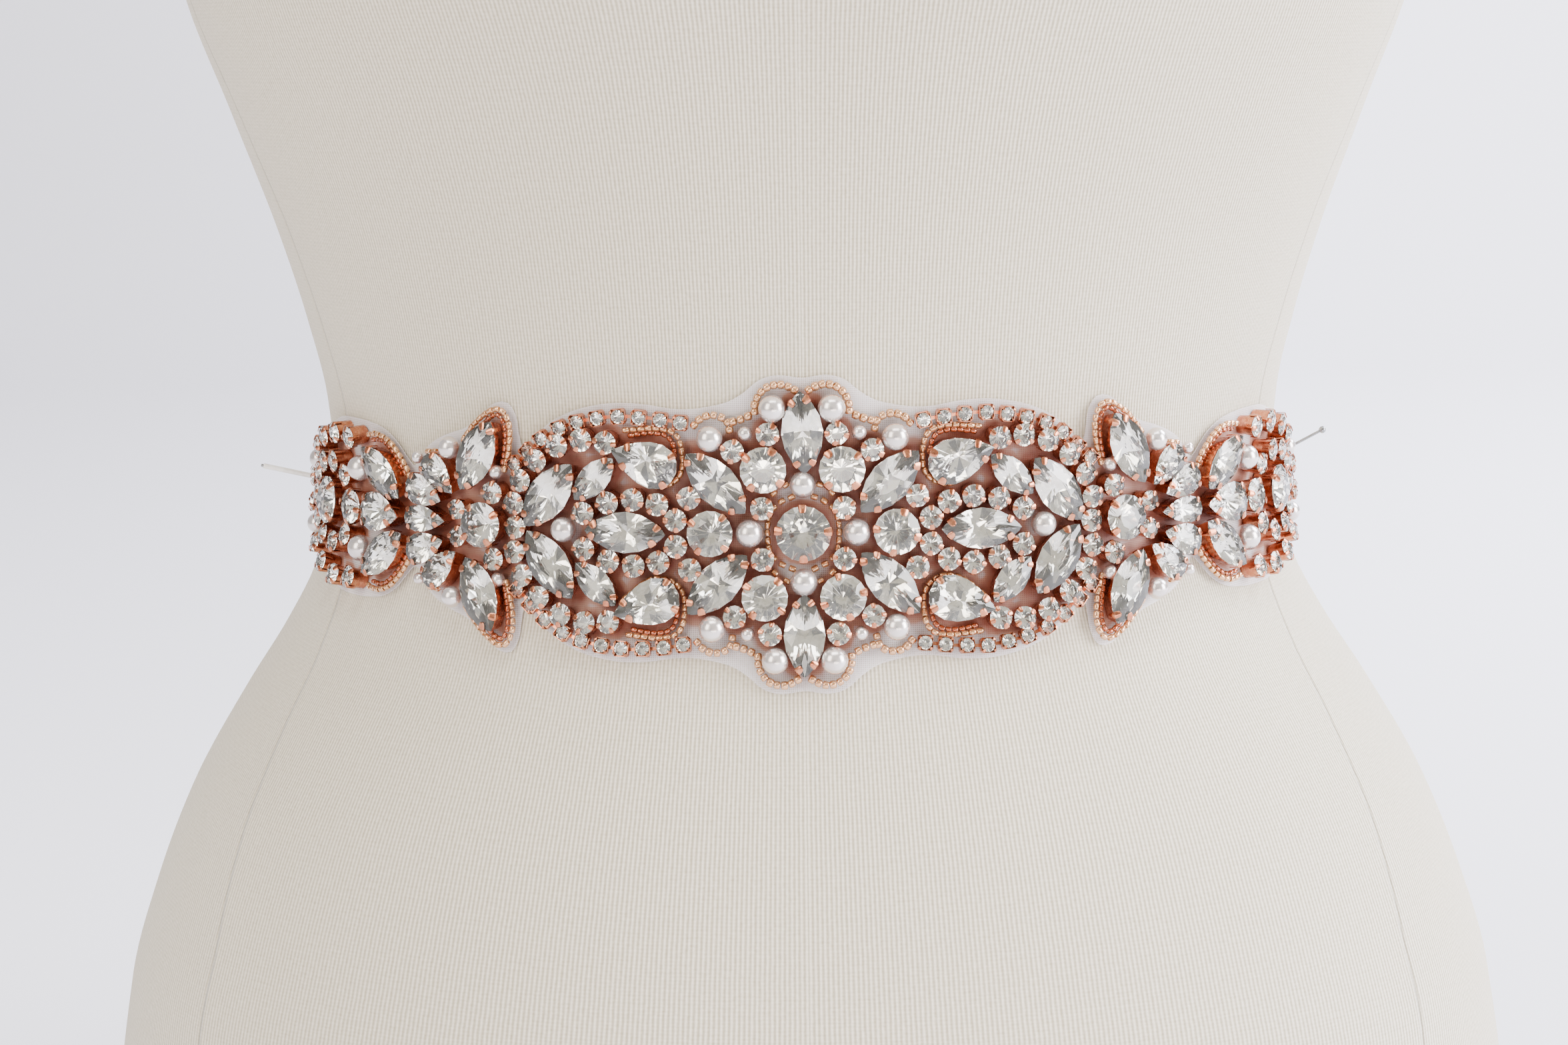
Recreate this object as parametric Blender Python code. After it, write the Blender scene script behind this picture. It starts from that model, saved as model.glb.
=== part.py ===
"""Bridal sash on a limbless dress form.

An organza band carries set stones and pearls round the waist of a jersey dress form,
held at both ends by a dressmaker's pin. The cloth is worked out on the form's surface:
u runs along the waist from the centre front, v runs up from the sash's centre line and
w runs outwards, all in millimetres.
"""
import functools
import math

import bpy
from mathutils import Vector
from mathutils.geometry import delaunay_2d_cdt

MM = 0.001
SEAM_GAP = 0.3

# The form's board, and the height of the sash's centre line above the table
BOARD_THICKNESS = 14.0
BOARD_HALF_WIDTH = 152.0
BOARD_HALF_DEPTH = 104.0
FORM_FOOT = -232.0
SASH_HEIGHT = BOARD_THICKNESS + SEAM_GAP - FORM_FOOT

# Sections of the form: heights are from the sash's centre line
COLUMNS = ("height", "half_width", "front", "back", "squareness")
FORM_SECTIONS = (
    (FORM_FOOT, 158.0, 104.0, 112.0, 2.2),
    (-224.0, 168.0, 112.0, 120.0, 2.2),
    (-170.0, 174.0, 116.0, 126.0, 2.2),
    (-120.0, 168.0, 114.0, 122.0, 2.2),
    (-97.0, 161.0, 110.0, 116.0, 2.2),
    (-73.0, 151.0, 104.0, 108.0, 2.2),
    (-50.0, 137.5, 97.0, 99.0, 2.15),
    (-34.0, 127.0, 92.0, 92.0, 2.1),
    (-20.0, 119.5, 88.0, 86.0, 2.1),
    (-5.0, 114.8, 85.0, 82.0, 2.1),
    (8.0, 113.8, 84.0, 81.0, 2.1),
    (21.0, 114.7, 84.0, 82.0, 2.1),
    (40.0, 118.7, 85.5, 84.0, 2.1),
    (60.0, 124.4, 88.0, 87.0, 2.1),
    (89.0, 134.3, 93.0, 92.0, 2.15),
    (118.0, 144.0, 98.0, 97.0, 2.2),
    (150.0, 149.0, 102.0, 101.0, 2.2),
    (190.0, 149.0, 102.0, 105.0, 2.2),
    (225.0, 148.0, 96.0, 106.0, 2.25),
    (260.0, 151.0, 86.0, 102.0, 2.3),
    (295.0, 157.0, 74.0, 93.0, 2.3),
    (322.0, 160.0, 62.0, 80.0, 2.25),
    (337.0, 148.0, 56.0, 71.0, 2.15),
    (350.0, 116.0, 52.0, 64.0, 2.1),
    (364.0, 78.0, 49.0, 58.0, 2.0),
    (380.0, 59.0, 47.0, 54.0, 2.0),
    (400.0, 53.0, 46.0, 51.0, 2.0),
    (426.0, 51.0, 45.0, 49.0, 2.0),
)
# Stretches of rings: from, to and the spacing between rings
RING_STRETCHES = (
    (-232.0, -224.0, 8.0),
    (-224.0, -44.0, 18.0),
    (-44.0, 46.0, 7.5),
    (46.0, 306.0, 20.0),
    (306.0, 386.0, 8.0),
    (386.0, 426.0, 20.0),
)
FORM_SEGMENTS = 44
# The bust is one soft swell on each side of the centre front
BUST = {"height": 172.0, "angle": 0.44, "rise": 24.0, "tall": 34.0, "wide": 0.34}

CAP_RADIUS = (54.0, 50.0)
CAP_PROFILE = ((0.0, 0.93), (2.0, 1.0), (9.0, 1.0), (13.0, 0.93), (15.0, 0.72))

# Layers of the sash above the form's surface
BACKING_INNER = 0.45
BACKING_OUTER = 1.45
SETTING_INNER = 1.9
SETTING_OUTER = 2.9
SETTING_INSET = 1.3
BORDER_INSET = 0.3

# Half the band's height at each place along the waist, top and bottom alike
PROFILE = (
    (0.0, 33.6), (5.0, 34.2), (9.0, 33.2), (12.5, 30.2), (16.0, 28.7), (20.0, 28.2),
    (24.0, 27.4), (28.0, 28.0), (34.0, 28.9), (40.0, 29.1), (45.0, 28.3), (50.0, 27.0),
    (55.0, 24.4), (59.0, 20.8), (61.6, 17.2), (62.6, 19.5), (63.8, 25.5), (66.0, 28.6),
    (69.4, 28.4), (73.0, 25.4), (77.0, 22.0), (81.0, 20.4), (85.0, 18.8), (88.5, 16.6),
    (91.0, 12.8), (93.2, 11.6), (96.0, 14.0), (99.0, 17.2), (103.0, 19.9), (108.0, 21.1),
    (114.0, 21.6), (121.0, 21.4), (127.0, 20.0), (133.0, 17.8), (139.0, 15.8),
    (144.0, 13.9), (148.0, 11.4), (151.0, 7.8), (152.6, 3.4),
)

# Borders between the motifs: height above the centre line and place along the waist
BORDERS = {
    "centre_lobe": (
        (0.0, 25.3), (1.4, 24.9), (2.9, 23.9), (4.6, 24.6), (5.6, 26.3), (8.0, 27.2),
        (11.0, 26.4), (13.5, 25.0), (16.0, 25.0), (18.0, 25.6), (20.0, 24.3), (33.0, 23.3),
    ),
    "lobe_fan": (
        (0.0, 65.25), (1.5, 65.5), (4.0, 66.2), (6.6, 65.25), (8.6, 64.4), (11.5, 64.9),
        (14.5, 65.3), (18.0, 64.4), (26.0, 62.6), (33.0, 61.6),
    ),
    "fan_end": ((0.0, 92.5), (6.0, 92.6), (12.0, 91.8), (33.0, 91.0)),
    "end": (
        (0.0, 143.2), (4.0, 142.7), (8.0, 140.6), (12.0, 136.6), (15.0, 132.6), (33.0, 126.0),
    ),
}

# Stones above the centre line; the band repeats them below it, and on its other side.
# Columns: shape, length, width, u, v and the way the tip points, in degrees.
STONES = {
    "centre": (
        ("round", 12.0, 12.0, 0.0, 0.0, 0.0),
        ("pearl", 6.0, 6.0, 11.3, 0.0, 0.0),
        ("pearl", 6.0, 6.0, 0.0, 10.9, 0.0),
        ("chaton", 5.0, 5.0, 8.6, 5.7, 0.0),
        ("round", 10.0, 10.0, 8.2, 14.3, 0.0),
        ("navette", 18.0, 9.0, 0.0, 22.4, 90.0),
        ("chaton", 5.0, 5.0, 7.2, 22.0, 0.0),
        ("pearl", 6.0, 6.0, 6.2, 27.6, 0.0),
        ("chaton", 5.0, 5.0, 14.6, 18.3, 0.0),
        ("pearl", 6.0, 6.0, 19.5, 20.8, 0.0),
        ("navette", 18.0, 9.0, 18.1, 11.4, 45.0),
        ("round", 10.0, 10.0, 19.5, 0.0, 0.0),
        ("chaton", 5.0, 5.0, 23.9, 8.1, 0.0),
    ),
    "lobe": (
        ("navette", 18.0, 9.0, 37.5, 0.0, 0.0),
        ("chaton", 5.0, 5.0, 26.8, 2.9, 0.0),
        ("chaton", 5.0, 5.0, 30.6, 6.5, 0.0),
        ("chaton", 5.0, 5.0, 35.9, 7.5, 0.0),
        ("chaton", 5.0, 5.0, 41.4, 6.6, 0.0),
        ("chaton", 5.0, 5.0, 46.8, 4.0, 0.0),
        ("pear", 15.0, 10.0, 33.2, 15.9, 18.0),
        ("navette", 13.0, 6.5, 44.2, 11.9, -43.0),
        ("navette", 18.0, 9.0, 54.4, 8.0, -54.0),
        ("pearl", 5.5, 5.5, 51.7, 0.0, 0.0),
        ("chaton", 5.0, 5.0, 41.6, 19.9, 0.0),
        ("chaton", 5.0, 5.0, 46.9, 20.3, 0.0),
        ("chaton", 5.0, 5.0, 52.3, 18.9, 0.0),
        ("chaton", 5.0, 5.0, 57.2, 15.5, 0.0),
        ("chaton", 5.0, 5.0, 61.0, 10.9, 0.0),
        ("chaton", 5.0, 5.0, 62.7, 5.5, 0.0),
        ("chaton", 5.0, 5.0, 62.4, 0.0, 0.0),
    ),
    "fan": (
        ("round", 10.0, 10.0, 70.6, 0.0, 0.0),
        ("chaton", 5.0, 5.0, 67.9, 7.7, 0.0),
        ("chaton", 4.5, 4.5, 77.0, 3.1, 0.0),
        ("navette", 18.0, 9.0, 71.9, 16.5, -61.0),
        ("pearl", 5.0, 5.0, 79.3, 17.0, 0.0),
        ("pear", 11.0, 7.0, 81.7, 10.8, 222.0),
        ("pear", 11.0, 7.0, 86.0, 6.4, 200.0),
        ("pear", 12.0, 6.0, 86.0, 0.0, 180.0),
    ),
    "end": (
        ("navette", 16.0, 8.5, 99.3, 9.7, 41.0),
        ("pear", 14.0, 9.0, 100.0, 0.0, 180.0),
        ("pearl", 6.0, 6.0, 108.5, 9.6, 0.0),
        ("round", 8.0, 8.0, 111.0, 0.0, 0.0),
        ("chaton", 5.0, 5.0, 114.3, 7.2, 0.0),
        ("chaton", 5.0, 5.0, 120.0, 9.9, 0.0),
        ("chaton", 5.0, 5.0, 126.3, 9.0, 0.0),
        ("chaton", 5.0, 5.0, 131.0, 5.3, 0.0),
        ("chaton", 5.0, 5.0, 132.7, 0.0, 0.0),
        ("round", 11.0, 11.0, 122.3, 0.0, 0.0),
        ("chaton", 5.0, 5.0, 111.3, 16.7, 0.0),
        ("chaton", 5.0, 5.0, 118.0, 17.1, 0.0),
        ("chaton", 5.0, 5.0, 125.0, 15.4, 0.0),
        ("chaton", 5.0, 5.0, 131.2, 12.0, 0.0),
        ("pearl", 5.0, 5.0, 136.2, 8.0, 0.0),
        ("chaton", 4.5, 4.5, 139.5, 3.2, 0.0),
    ),
}
# Rings of a raised stone: share of its outline and share of its height
STONE_RINGS = {
    "round": ((1.0, 0.0), (0.93, 0.6), (0.6, 1.0)),
    "navette": ((1.0, 0.0), (0.92, 0.6), (0.55, 1.0)),
    "pear": ((1.0, 0.0), (0.92, 0.6), (0.55, 1.0)),
    "pearl": ((1.0, 0.0), (0.88, 0.6), (0.45, 1.0)),
    "chaton": ((1.0, 0.0), (0.7, 1.0)),
}
STONE_SIDES = {"round": 8, "navette": 8, "pear": 8, "pearl": 6, "chaton": 6}
STONE_SHRINK = 0.96

# Pins: place on the band, tilt above the surface's normal and length
PINS = {
    "pin_left": {"u": -146.5, "v": 1.0, "tilt": 9.0, "length": 17.5},
    "pin_right": {"u": 145.0, "v": 4.2, "tilt": 26.0, "length": 13.5},
}
PIN_RADIUS = 0.4
PIN_HEAD_RADIUS = 1.1
PIN_HOLE_RADIUS = 1.2
PIN_SIDES = 8

# Colour, roughness and metallic value of each material
MATERIALS = {
    "jersey": ((0.64, 0.61, 0.55), 0.92, 0.0),
    "organza": ((0.86, 0.84, 0.83), 0.6, 0.0),
    "rose_gold": ((0.86, 0.47, 0.33), 0.28, 1.0),
    "pin_steel": ((0.72, 0.72, 0.72), 0.25, 1.0),
    "beech": ((0.62, 0.42, 0.24), 0.5, 0.0),
}


def column(name):
    index = COLUMNS.index(name)
    return [row[index] for row in FORM_SECTIONS]


HEIGHTS = column("height")


def slopes(values):
    """Slopes of a smooth curve through the sections that never overshoots them."""
    steps = [b - a for a, b in zip(HEIGHTS, HEIGHTS[1:])]
    rates = [(b - a) / s for a, b, s in zip(values, values[1:], steps)]
    result = [rates[0]]
    for i in range(1, len(rates)):
        before = rates[i - 1]
        after = rates[i]
        if before * after <= 0.0:
            result.append(0.0)
            continue
        near = 2.0 * steps[i] + steps[i - 1]
        far = steps[i] + 2.0 * steps[i - 1]
        result.append((near + far) / (near / before + far / after))
    return result + [rates[-1]]


CURVES = {name: (column(name), slopes(column(name))) for name in COLUMNS[1:]}


@functools.lru_cache(maxsize=None)
def section(height):
    """Half width, front depth, back depth and squareness of the form at a height."""
    last = len(HEIGHTS) - 2
    i = next((k for k in range(last) if height <= HEIGHTS[k + 1]), last)
    step = HEIGHTS[i + 1] - HEIGHTS[i]
    t = (height - HEIGHTS[i]) / step
    rise = t * t * (3.0 - 2.0 * t)
    result = []
    for values, rates in CURVES.values():
        value = values[i] * (1.0 - rise) + values[i + 1] * rise
        value += step * t * (1.0 - t) * ((1.0 - t) * rates[i] - t * rates[i + 1])
        result.append(value)
    return result


def bust_swell(height, angle):
    tall = (height - BUST["height"]) / BUST["tall"]
    sides = (BUST["angle"], -BUST["angle"])
    wide = sum(math.exp(-0.5 * ((angle - side) / BUST["wide"]) ** 2) for side in sides)
    return BUST["rise"] * math.exp(-0.5 * tall * tall) * wide


def form_point(height, angle):
    """Point of the form's surface; the angle turns from the front towards +X."""
    half_width, front, back, squareness = section(round(height, 3))
    side = math.sin(angle)
    ahead = math.cos(angle)
    depth = front if ahead >= 0.0 else back
    reach = abs(side / half_width) ** squareness + abs(ahead / depth) ** squareness
    radius = reach ** (-1.0 / squareness) + bust_swell(height, angle)
    return Vector((radius * side, -radius * ahead, height))


ARC_STEP = math.radians(1.0)


@functools.lru_cache(maxsize=None)
def arc_table(height):
    """Length along the form from the centre front, at each degree, at a whole height."""
    lengths = [0.0]
    last = form_point(height, 0.0)
    for i in range(1, 130):
        point = form_point(height, i * ARC_STEP)
        lengths.append(lengths[-1] + (point - last).length)
        last = point
    return lengths


def angle_in_table(lengths, distance):
    i = 0
    while lengths[i + 1] < distance:
        i += 1
    return (i + (distance - lengths[i]) / (lengths[i + 1] - lengths[i])) * ARC_STEP


def waist_angle(u, v):
    """Angle of the place u along the waist at the height v."""
    below = math.floor(v)
    share = v - below
    low = angle_in_table(arc_table(below), abs(u))
    high = angle_in_table(arc_table(below + 1), abs(u))
    return math.copysign(low * (1.0 - share) + high * share, u)


def surface_frame(u, v):
    """Point and outward normal of the form's surface under a place on the band."""
    angle = waist_angle(u, v)
    along = form_point(v, angle + 0.002) - form_point(v, angle - 0.002)
    up = form_point(v + 0.2, angle) - form_point(v - 0.2, angle)
    return form_point(v, angle), along.cross(up).normalized()


def band_point(u, v, w):
    point, normal = surface_frame(u, v)
    return point + normal * w


def material(name):
    made = bpy.data.materials.get(name)
    if made:
        return made
    colour, roughness, metallic = MATERIALS[name]
    made = bpy.data.materials.new(name)
    made.use_nodes = True
    shader = made.node_tree.nodes["Principled BSDF"]
    shader.inputs["Base Color"].default_value = (*colour, 1.0)
    shader.inputs["Roughness"].default_value = roughness
    shader.inputs["Metallic"].default_value = metallic
    return made


DEPTH_SHIFT = {"y": 0.0}


def add_object(name, points, faces, material_name, smooth_angle=35.0):
    """Object from points in mm about the sash's centre line, placed above the table."""
    mesh = bpy.data.meshes.new(name)
    place = Vector((0.0, DEPTH_SHIFT["y"], SASH_HEIGHT))
    mesh.from_pydata([(Vector(p) + place) * MM for p in points], [], faces)
    mesh.materials.append(material(material_name))
    mesh.validate()
    mesh.shade_smooth()
    mesh.set_sharp_from_angle(angle=math.radians(smooth_angle))
    made = bpy.data.objects.new(name, mesh)
    bpy.context.scene.collection.objects.link(made)
    return made


def ring_body(name, rings, material_name, smooth_angle=35.0):
    """Closed body through rings of points that run up it, each ring counter-clockwise."""
    count = len(rings[0])
    points = [point for ring in rings for point in ring]
    faces = [tuple(reversed(range(count)))]
    for r in range(len(rings) - 1):
        for i in range(count):
            j = (i + 1) % count
            faces.append((r * count + i, r * count + j, (r + 1) * count + j, (r + 1) * count + i))
    top = (len(rings) - 1) * count
    faces.append(tuple(range(top, top + count)))
    return add_object(name, points, faces, material_name, smooth_angle)


def ring_heights():
    heights = []
    for low, high, spacing in RING_STRETCHES:
        steps = max(1, round((high - low) / spacing))
        heights += [low + (high - low) * i / steps for i in range(steps)]
    return heights + [RING_STRETCHES[-1][1]]


def form_angles():
    """Angles that give even steps round an oval section."""
    turns = [2.0 * math.pi * i / FORM_SEGMENTS for i in range(FORM_SEGMENTS)]
    return [math.atan2(1.36 * math.sin(t), math.cos(t)) for t in turns]


def form_rings():
    return [[form_point(height, angle) for angle in form_angles()] for height in ring_heights()]


def oval(half_width, half_depth, height, squareness=2.0, count=40):
    ring = []
    for i in range(count):
        turn = 2.0 * math.pi * i / count
        x = math.copysign(abs(math.sin(turn)) ** (2.0 / squareness), math.sin(turn))
        y = math.copysign(abs(math.cos(turn)) ** (2.0 / squareness), math.cos(turn))
        ring.append((half_width * x, -half_depth * y, height))
    return ring


def build_neck_cap():
    low = HEIGHTS[-1] + SEAM_GAP
    wide, deep = CAP_RADIUS
    rings = [oval(wide * s, deep * s, low + z, count=32) for z, s in CAP_PROFILE]
    return ring_body("form_neck_cap", rings, "beech")


def build_board():
    bottom = -SASH_HEIGHT
    rounding = 1.5
    rows = (
        (0.0, rounding), (rounding, 0.0), (BOARD_THICKNESS - rounding, 0.0), (BOARD_THICKNESS, rounding),
    )
    rings = [
        oval(BOARD_HALF_WIDTH - inset, BOARD_HALF_DEPTH - inset, bottom + z, 2.6)
        for z, inset in rows
    ]
    return ring_body("form_base", rings, "beech")


def table_value(table, place):
    """Straight-line reading of a two-column table."""
    for (x0, y0), (x1, y1) in zip(table, table[1:]):
        if place <= x1:
            return y0 + (y1 - y0) * (place - x0) / (x1 - x0)
    return table[-1][1]


def mirrored(half):
    """Closed outline from its upper half, which runs from the left to the right end."""
    lower = [(u, -v) for u, v in half if v > 0.01]
    return lower + [point for point in reversed(half)]


def band_outline():
    right = [point for point in PROFILE]
    left = [(-u, v) for u, v in reversed(PROFILE) if u > 0.0]
    return mirrored(left + right)


def border_stretch(name, shift, inset):
    """A border from the centre line up to the band's edge, moved along the waist."""
    stretch = []
    for v, u in BORDERS[name]:
        u += shift
        edge = table_value(PROFILE, u) - inset
        if v >= edge:
            stretch.append((u, edge))
            break
        stretch.append((u, v))
    return stretch


def motif_outline(left_border, right_border):
    """Outline of a motif's setting between two borders on the band's right side."""
    left = border_stretch(left_border, BORDER_INSET, SETTING_INSET)
    right = border_stretch(right_border, -BORDER_INSET, SETTING_INSET)
    low = left[-1][0] + 0.6
    high = right[-1][0] - 0.6
    top = [(u, v - SETTING_INSET) for u, v in PROFILE if low < u < high]
    return mirrored(left + top + right[::-1])


def centre_outline():
    right = border_stretch("centre_lobe", -BORDER_INSET, SETTING_INSET)
    high = right[-1][0] - 0.6
    top = [(u, v - SETTING_INSET) for u, v in PROFILE if u < high]
    half = top + right[::-1]
    left = [(-u, v) for u, v in reversed(half) if u > 0.0]
    return mirrored(left + half)


def stone_outline(shape, length, width):
    """Outline of a stone about its middle, with its tip along the first axis."""
    count = STONE_SIDES[shape]
    points = []
    for i in range(count):
        turn = 2.0 * math.pi * i / count
        x = math.cos(turn)
        y = math.sin(turn)
        if shape == "navette":
            y *= abs(y) ** 0.7
        if shape == "pear":
            y *= abs(math.sin(0.5 * turn)) ** 0.9 / 0.785
        points.append((0.5 * length * x, 0.5 * width * y))
    return points


def placed_stone(row):
    """Stone as its kind, its middle, its outline about the middle and its height."""
    shape, length, width, u, v, degrees = row
    cos = math.cos(math.radians(degrees))
    sin = math.sin(math.radians(degrees))
    outline = [
        (STONE_SHRINK * (x * cos - y * sin), STONE_SHRINK * (x * sin + y * cos))
        for x, y in stone_outline(shape, length, width)
    ]
    height = 0.85 * width if shape == "pearl" else 1.4 + 0.24 * width
    return {"shape": shape, "middle": (u, v), "outline": outline, "height": height}


def reflected(stone, flip_u, flip_v):
    u, v = stone["middle"]
    outline = [(x * flip_u, y * flip_v) for x, y in stone["outline"]]
    if flip_u * flip_v < 0:
        outline.reverse()
    return dict(stone, middle=(u * flip_u, v * flip_v), outline=outline)


def motif_stones(motif):
    """All of a motif's stones, with those that its lines of symmetry repeat."""
    stones = []
    for row in STONES[motif]:
        stone = placed_stone(row)
        u, v = stone["middle"]
        flips_u = (1, -1) if motif == "centre" and u > 0.0 else (1,)
        flips_v = (1, -1) if v > 0.0 else (1,)
        stones += [reflected(stone, fu, fv) for fu in flips_u for fv in flips_v]
    return stones


def outline_share(stone, u, v):
    """Share of the stone's outline that passes through a place: 1 is its edge."""
    x = u - stone["middle"][0]
    y = v - stone["middle"][1]
    outline = stone["outline"]
    share = 0.0
    for (ax, ay), (bx, by) in zip(outline, outline[1:] + outline[:1]):
        nx = by - ay
        ny = ax - bx
        share = max(share, (nx * x + ny * y) / (nx * ax + ny * ay))
    return share


def stone_height(stone, u, v):
    share = outline_share(stone, u, v)
    rings = STONE_RINGS[stone["shape"]]
    for (outer, low), (inner, high) in zip(rings, rings[1:]):
        if share >= inner:
            rise = low + (high - low) * min(1.0, max(0.0, (outer - share) / (outer - inner)))
            return rise * stone["height"]
    return stone["height"]


def edge_distance(loop, u, v):
    best = 1e9
    for (ax, ay), (bx, by) in zip(loop, loop[1:] + loop[:1]):
        dx = bx - ax
        dy = by - ay
        share = ((u - ax) * dx + (v - ay) * dy) / (dx * dx + dy * dy)
        share = min(1.0, max(0.0, share))
        best = min(best, math.hypot(u - ax - share * dx, v - ay - share * dy))
    return best


def inside(loop, u, v):
    crossed = False
    for (ax, ay), (bx, by) in zip(loop, loop[1:] + loop[:1]):
        if (ay > v) != (by > v) and u < ax + (v - ay) * (bx - ax) / (by - ay):
            crossed = not crossed
    return crossed


GRID_STEP_U = 6.5
GRID_STEP_V = 10.0


def filling_points(loops, stones):
    """Points between the stones that let a wall follow the form's curve."""
    outline = loops[0]
    low_u = min(u for u, v in outline)
    high_u = max(u for u, v in outline)
    high_v = max(v for u, v in outline)
    points = []
    for i in range(math.ceil((high_u - low_u) / GRID_STEP_U)):
        u = low_u + (i + 0.5) * GRID_STEP_U
        rows = math.ceil(high_v / GRID_STEP_V)
        for j in range(-rows, rows + 1):
            v = (j + 0.5 * (i % 2)) * GRID_STEP_V
            clear = all(outline_share(stone, u, v) > 1.2 for stone in stones)
            away = all(edge_distance(loop, u, v) > 2.0 for loop in loops)
            if clear and away and inside(outline, u, v):
                points.append((u, v))
    return points


def triangulated(loops, inner_loops, points):
    """Triangles inside the first loop and outside the other ones, as flat points."""
    flat = []
    edges = []
    for loop in loops + inner_loops:
        first = len(flat)
        flat += loop
        edges += [(first + i, first + (i + 1) % len(loop)) for i in range(len(loop))]
    flat += points
    made = delaunay_2d_cdt([Vector(p) for p in flat], edges, [], 0, 1e-5, False)
    corners = [(p.x, p.y) for p in made[0]]
    faces = []
    for face in made[2]:
        u = sum(corners[i][0] for i in face) / 3.0
        v = sum(corners[i][1] for i in face) / 3.0
        if inside(loops[0], u, v) and not any(inside(hole, u, v) for hole in loops[1:]):
            faces.append(tuple(face))
    return corners, faces


def border_edges(faces):
    edges = {(f[i], f[(i + 1) % 3]) for f in faces for i in range(3)}
    return [edge for edge in edges if (edge[1], edge[0]) not in edges]


def cloth_wall(name, loops, layers, stones, material_name, side=1):
    """Closed wall on the form, between two layers, with its stones raised outside."""
    inner_w, outer_w = layers
    rings = []
    for stone in stones:
        for share, _ in STONE_RINGS[stone["shape"]]:
            u, v = stone["middle"]
            rings.append([(u + share * x, v + share * y) for x, y in stone["outline"]])
    outer, outer_faces = triangulated(loops, rings, filling_points(loops, stones))
    inner, inner_faces = triangulated(loops, [], filling_points(loops, []))
    points = []
    for u, v in outer:
        rise = max([stone_height(stone, u, v) for stone in stones] + [0.0])
        points.append(band_point(side * u, v, outer_w + rise))
    points += [band_point(side * u, v, inner_w) for u, v in inner]
    start = len(outer)
    faces = list(outer_faces)
    faces += [tuple(start + i for i in reversed(face)) for face in inner_faces]
    below = {(round(u, 4), round(v, 4)): start + i for i, (u, v) in enumerate(inner)}
    for a, b in border_edges(outer_faces):
        under_a = below[(round(outer[a][0], 4), round(outer[a][1], 4))]
        under_b = below[(round(outer[b][0], 4), round(outer[b][1], 4))]
        faces.append((a, under_a, under_b))
        faces.append((a, under_b, b))
    if side < 0:
        faces = [tuple(reversed(face)) for face in faces]
    return add_object(name, points, faces, material_name)


def pin_hole(pin):
    turns = [2.0 * math.pi * i / PIN_SIDES for i in range(PIN_SIDES)]
    return [
        (pin["u"] + PIN_HOLE_RADIUS * math.cos(t), pin["v"] + PIN_HOLE_RADIUS * math.sin(t))
        for t in turns
    ]


def build_backing():
    loops = [band_outline()] + [pin_hole(pin) for pin in PINS.values()]
    return cloth_wall("sash_backing", loops, (BACKING_INNER, BACKING_OUTER), [], "organza")


def build_motifs():
    layers = (SETTING_INNER, SETTING_OUTER)
    stones = motif_stones("centre")
    cloth_wall("motif_centre", [centre_outline()], layers, stones, "rose_gold")
    spans = {
        "lobe": ("centre_lobe", "lobe_fan"),
        "fan": ("lobe_fan", "fan_end"),
        "end": ("fan_end", "end"),
    }
    for motif, (left, right) in spans.items():
        stones = motif_stones(motif)
        outline = motif_outline(left, right)
        for side, word in ((1, "right"), (-1, "left")):
            cloth_wall(f"motif_{motif}_{word}", [outline], layers, stones, "rose_gold", side)


def build_pin(name):
    """Pin that stands out of the band's end, shaft and round head in one turned body."""
    pin = PINS[name]
    foot, normal = surface_frame(pin["u"], pin["v"])
    up = Vector((0.0, 0.0, 1.0))
    lean = (up - normal * up.dot(normal)).normalized()
    tilt = math.radians(pin["tilt"])
    axis = normal * math.cos(tilt) + lean * math.sin(tilt)
    across = axis.cross(normal.cross(lean)).normalized()
    other = axis.cross(across)
    head = pin["length"]
    profile = [(PIN_RADIUS, 0.6), (PIN_RADIUS, head - 0.93 * PIN_HEAD_RADIUS)]
    for degrees in (-40.0, 0.0, 40.0, 72.0):
        turn = math.radians(degrees)
        profile.append((PIN_HEAD_RADIUS * math.cos(turn), head + PIN_HEAD_RADIUS * math.sin(turn)))
    rings = []
    for radius, reach in profile:
        ring = []
        for i in range(PIN_SIDES):
            turn = 2.0 * math.pi * i / PIN_SIDES
            offset = across * math.cos(turn) + other * math.sin(turn)
            ring.append(foot + axis * reach + offset * radius)
        rings.append(ring)
    return ring_body(name, rings, "pin_steel")


def clear_scene():
    for old in list(bpy.data.objects):
        bpy.data.objects.remove(old, do_unlink=True)


def main():
    clear_scene()
    rings = form_rings()
    depths = [point.y for ring in rings for point in ring]
    DEPTH_SHIFT["y"] = -0.5 * (min(depths) + max(depths))
    ring_body("form_torso", rings, "jersey", 60.0)
    build_neck_cap()
    build_board()
    build_backing()
    build_motifs()
    for name in PINS:
        build_pin(name)


main()
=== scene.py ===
import math
import random

import bmesh
import bpy
import numpy as np
from mathutils import Euler, Matrix, Vector
from mathutils.geometry import delaunay_2d_cdt


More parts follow.
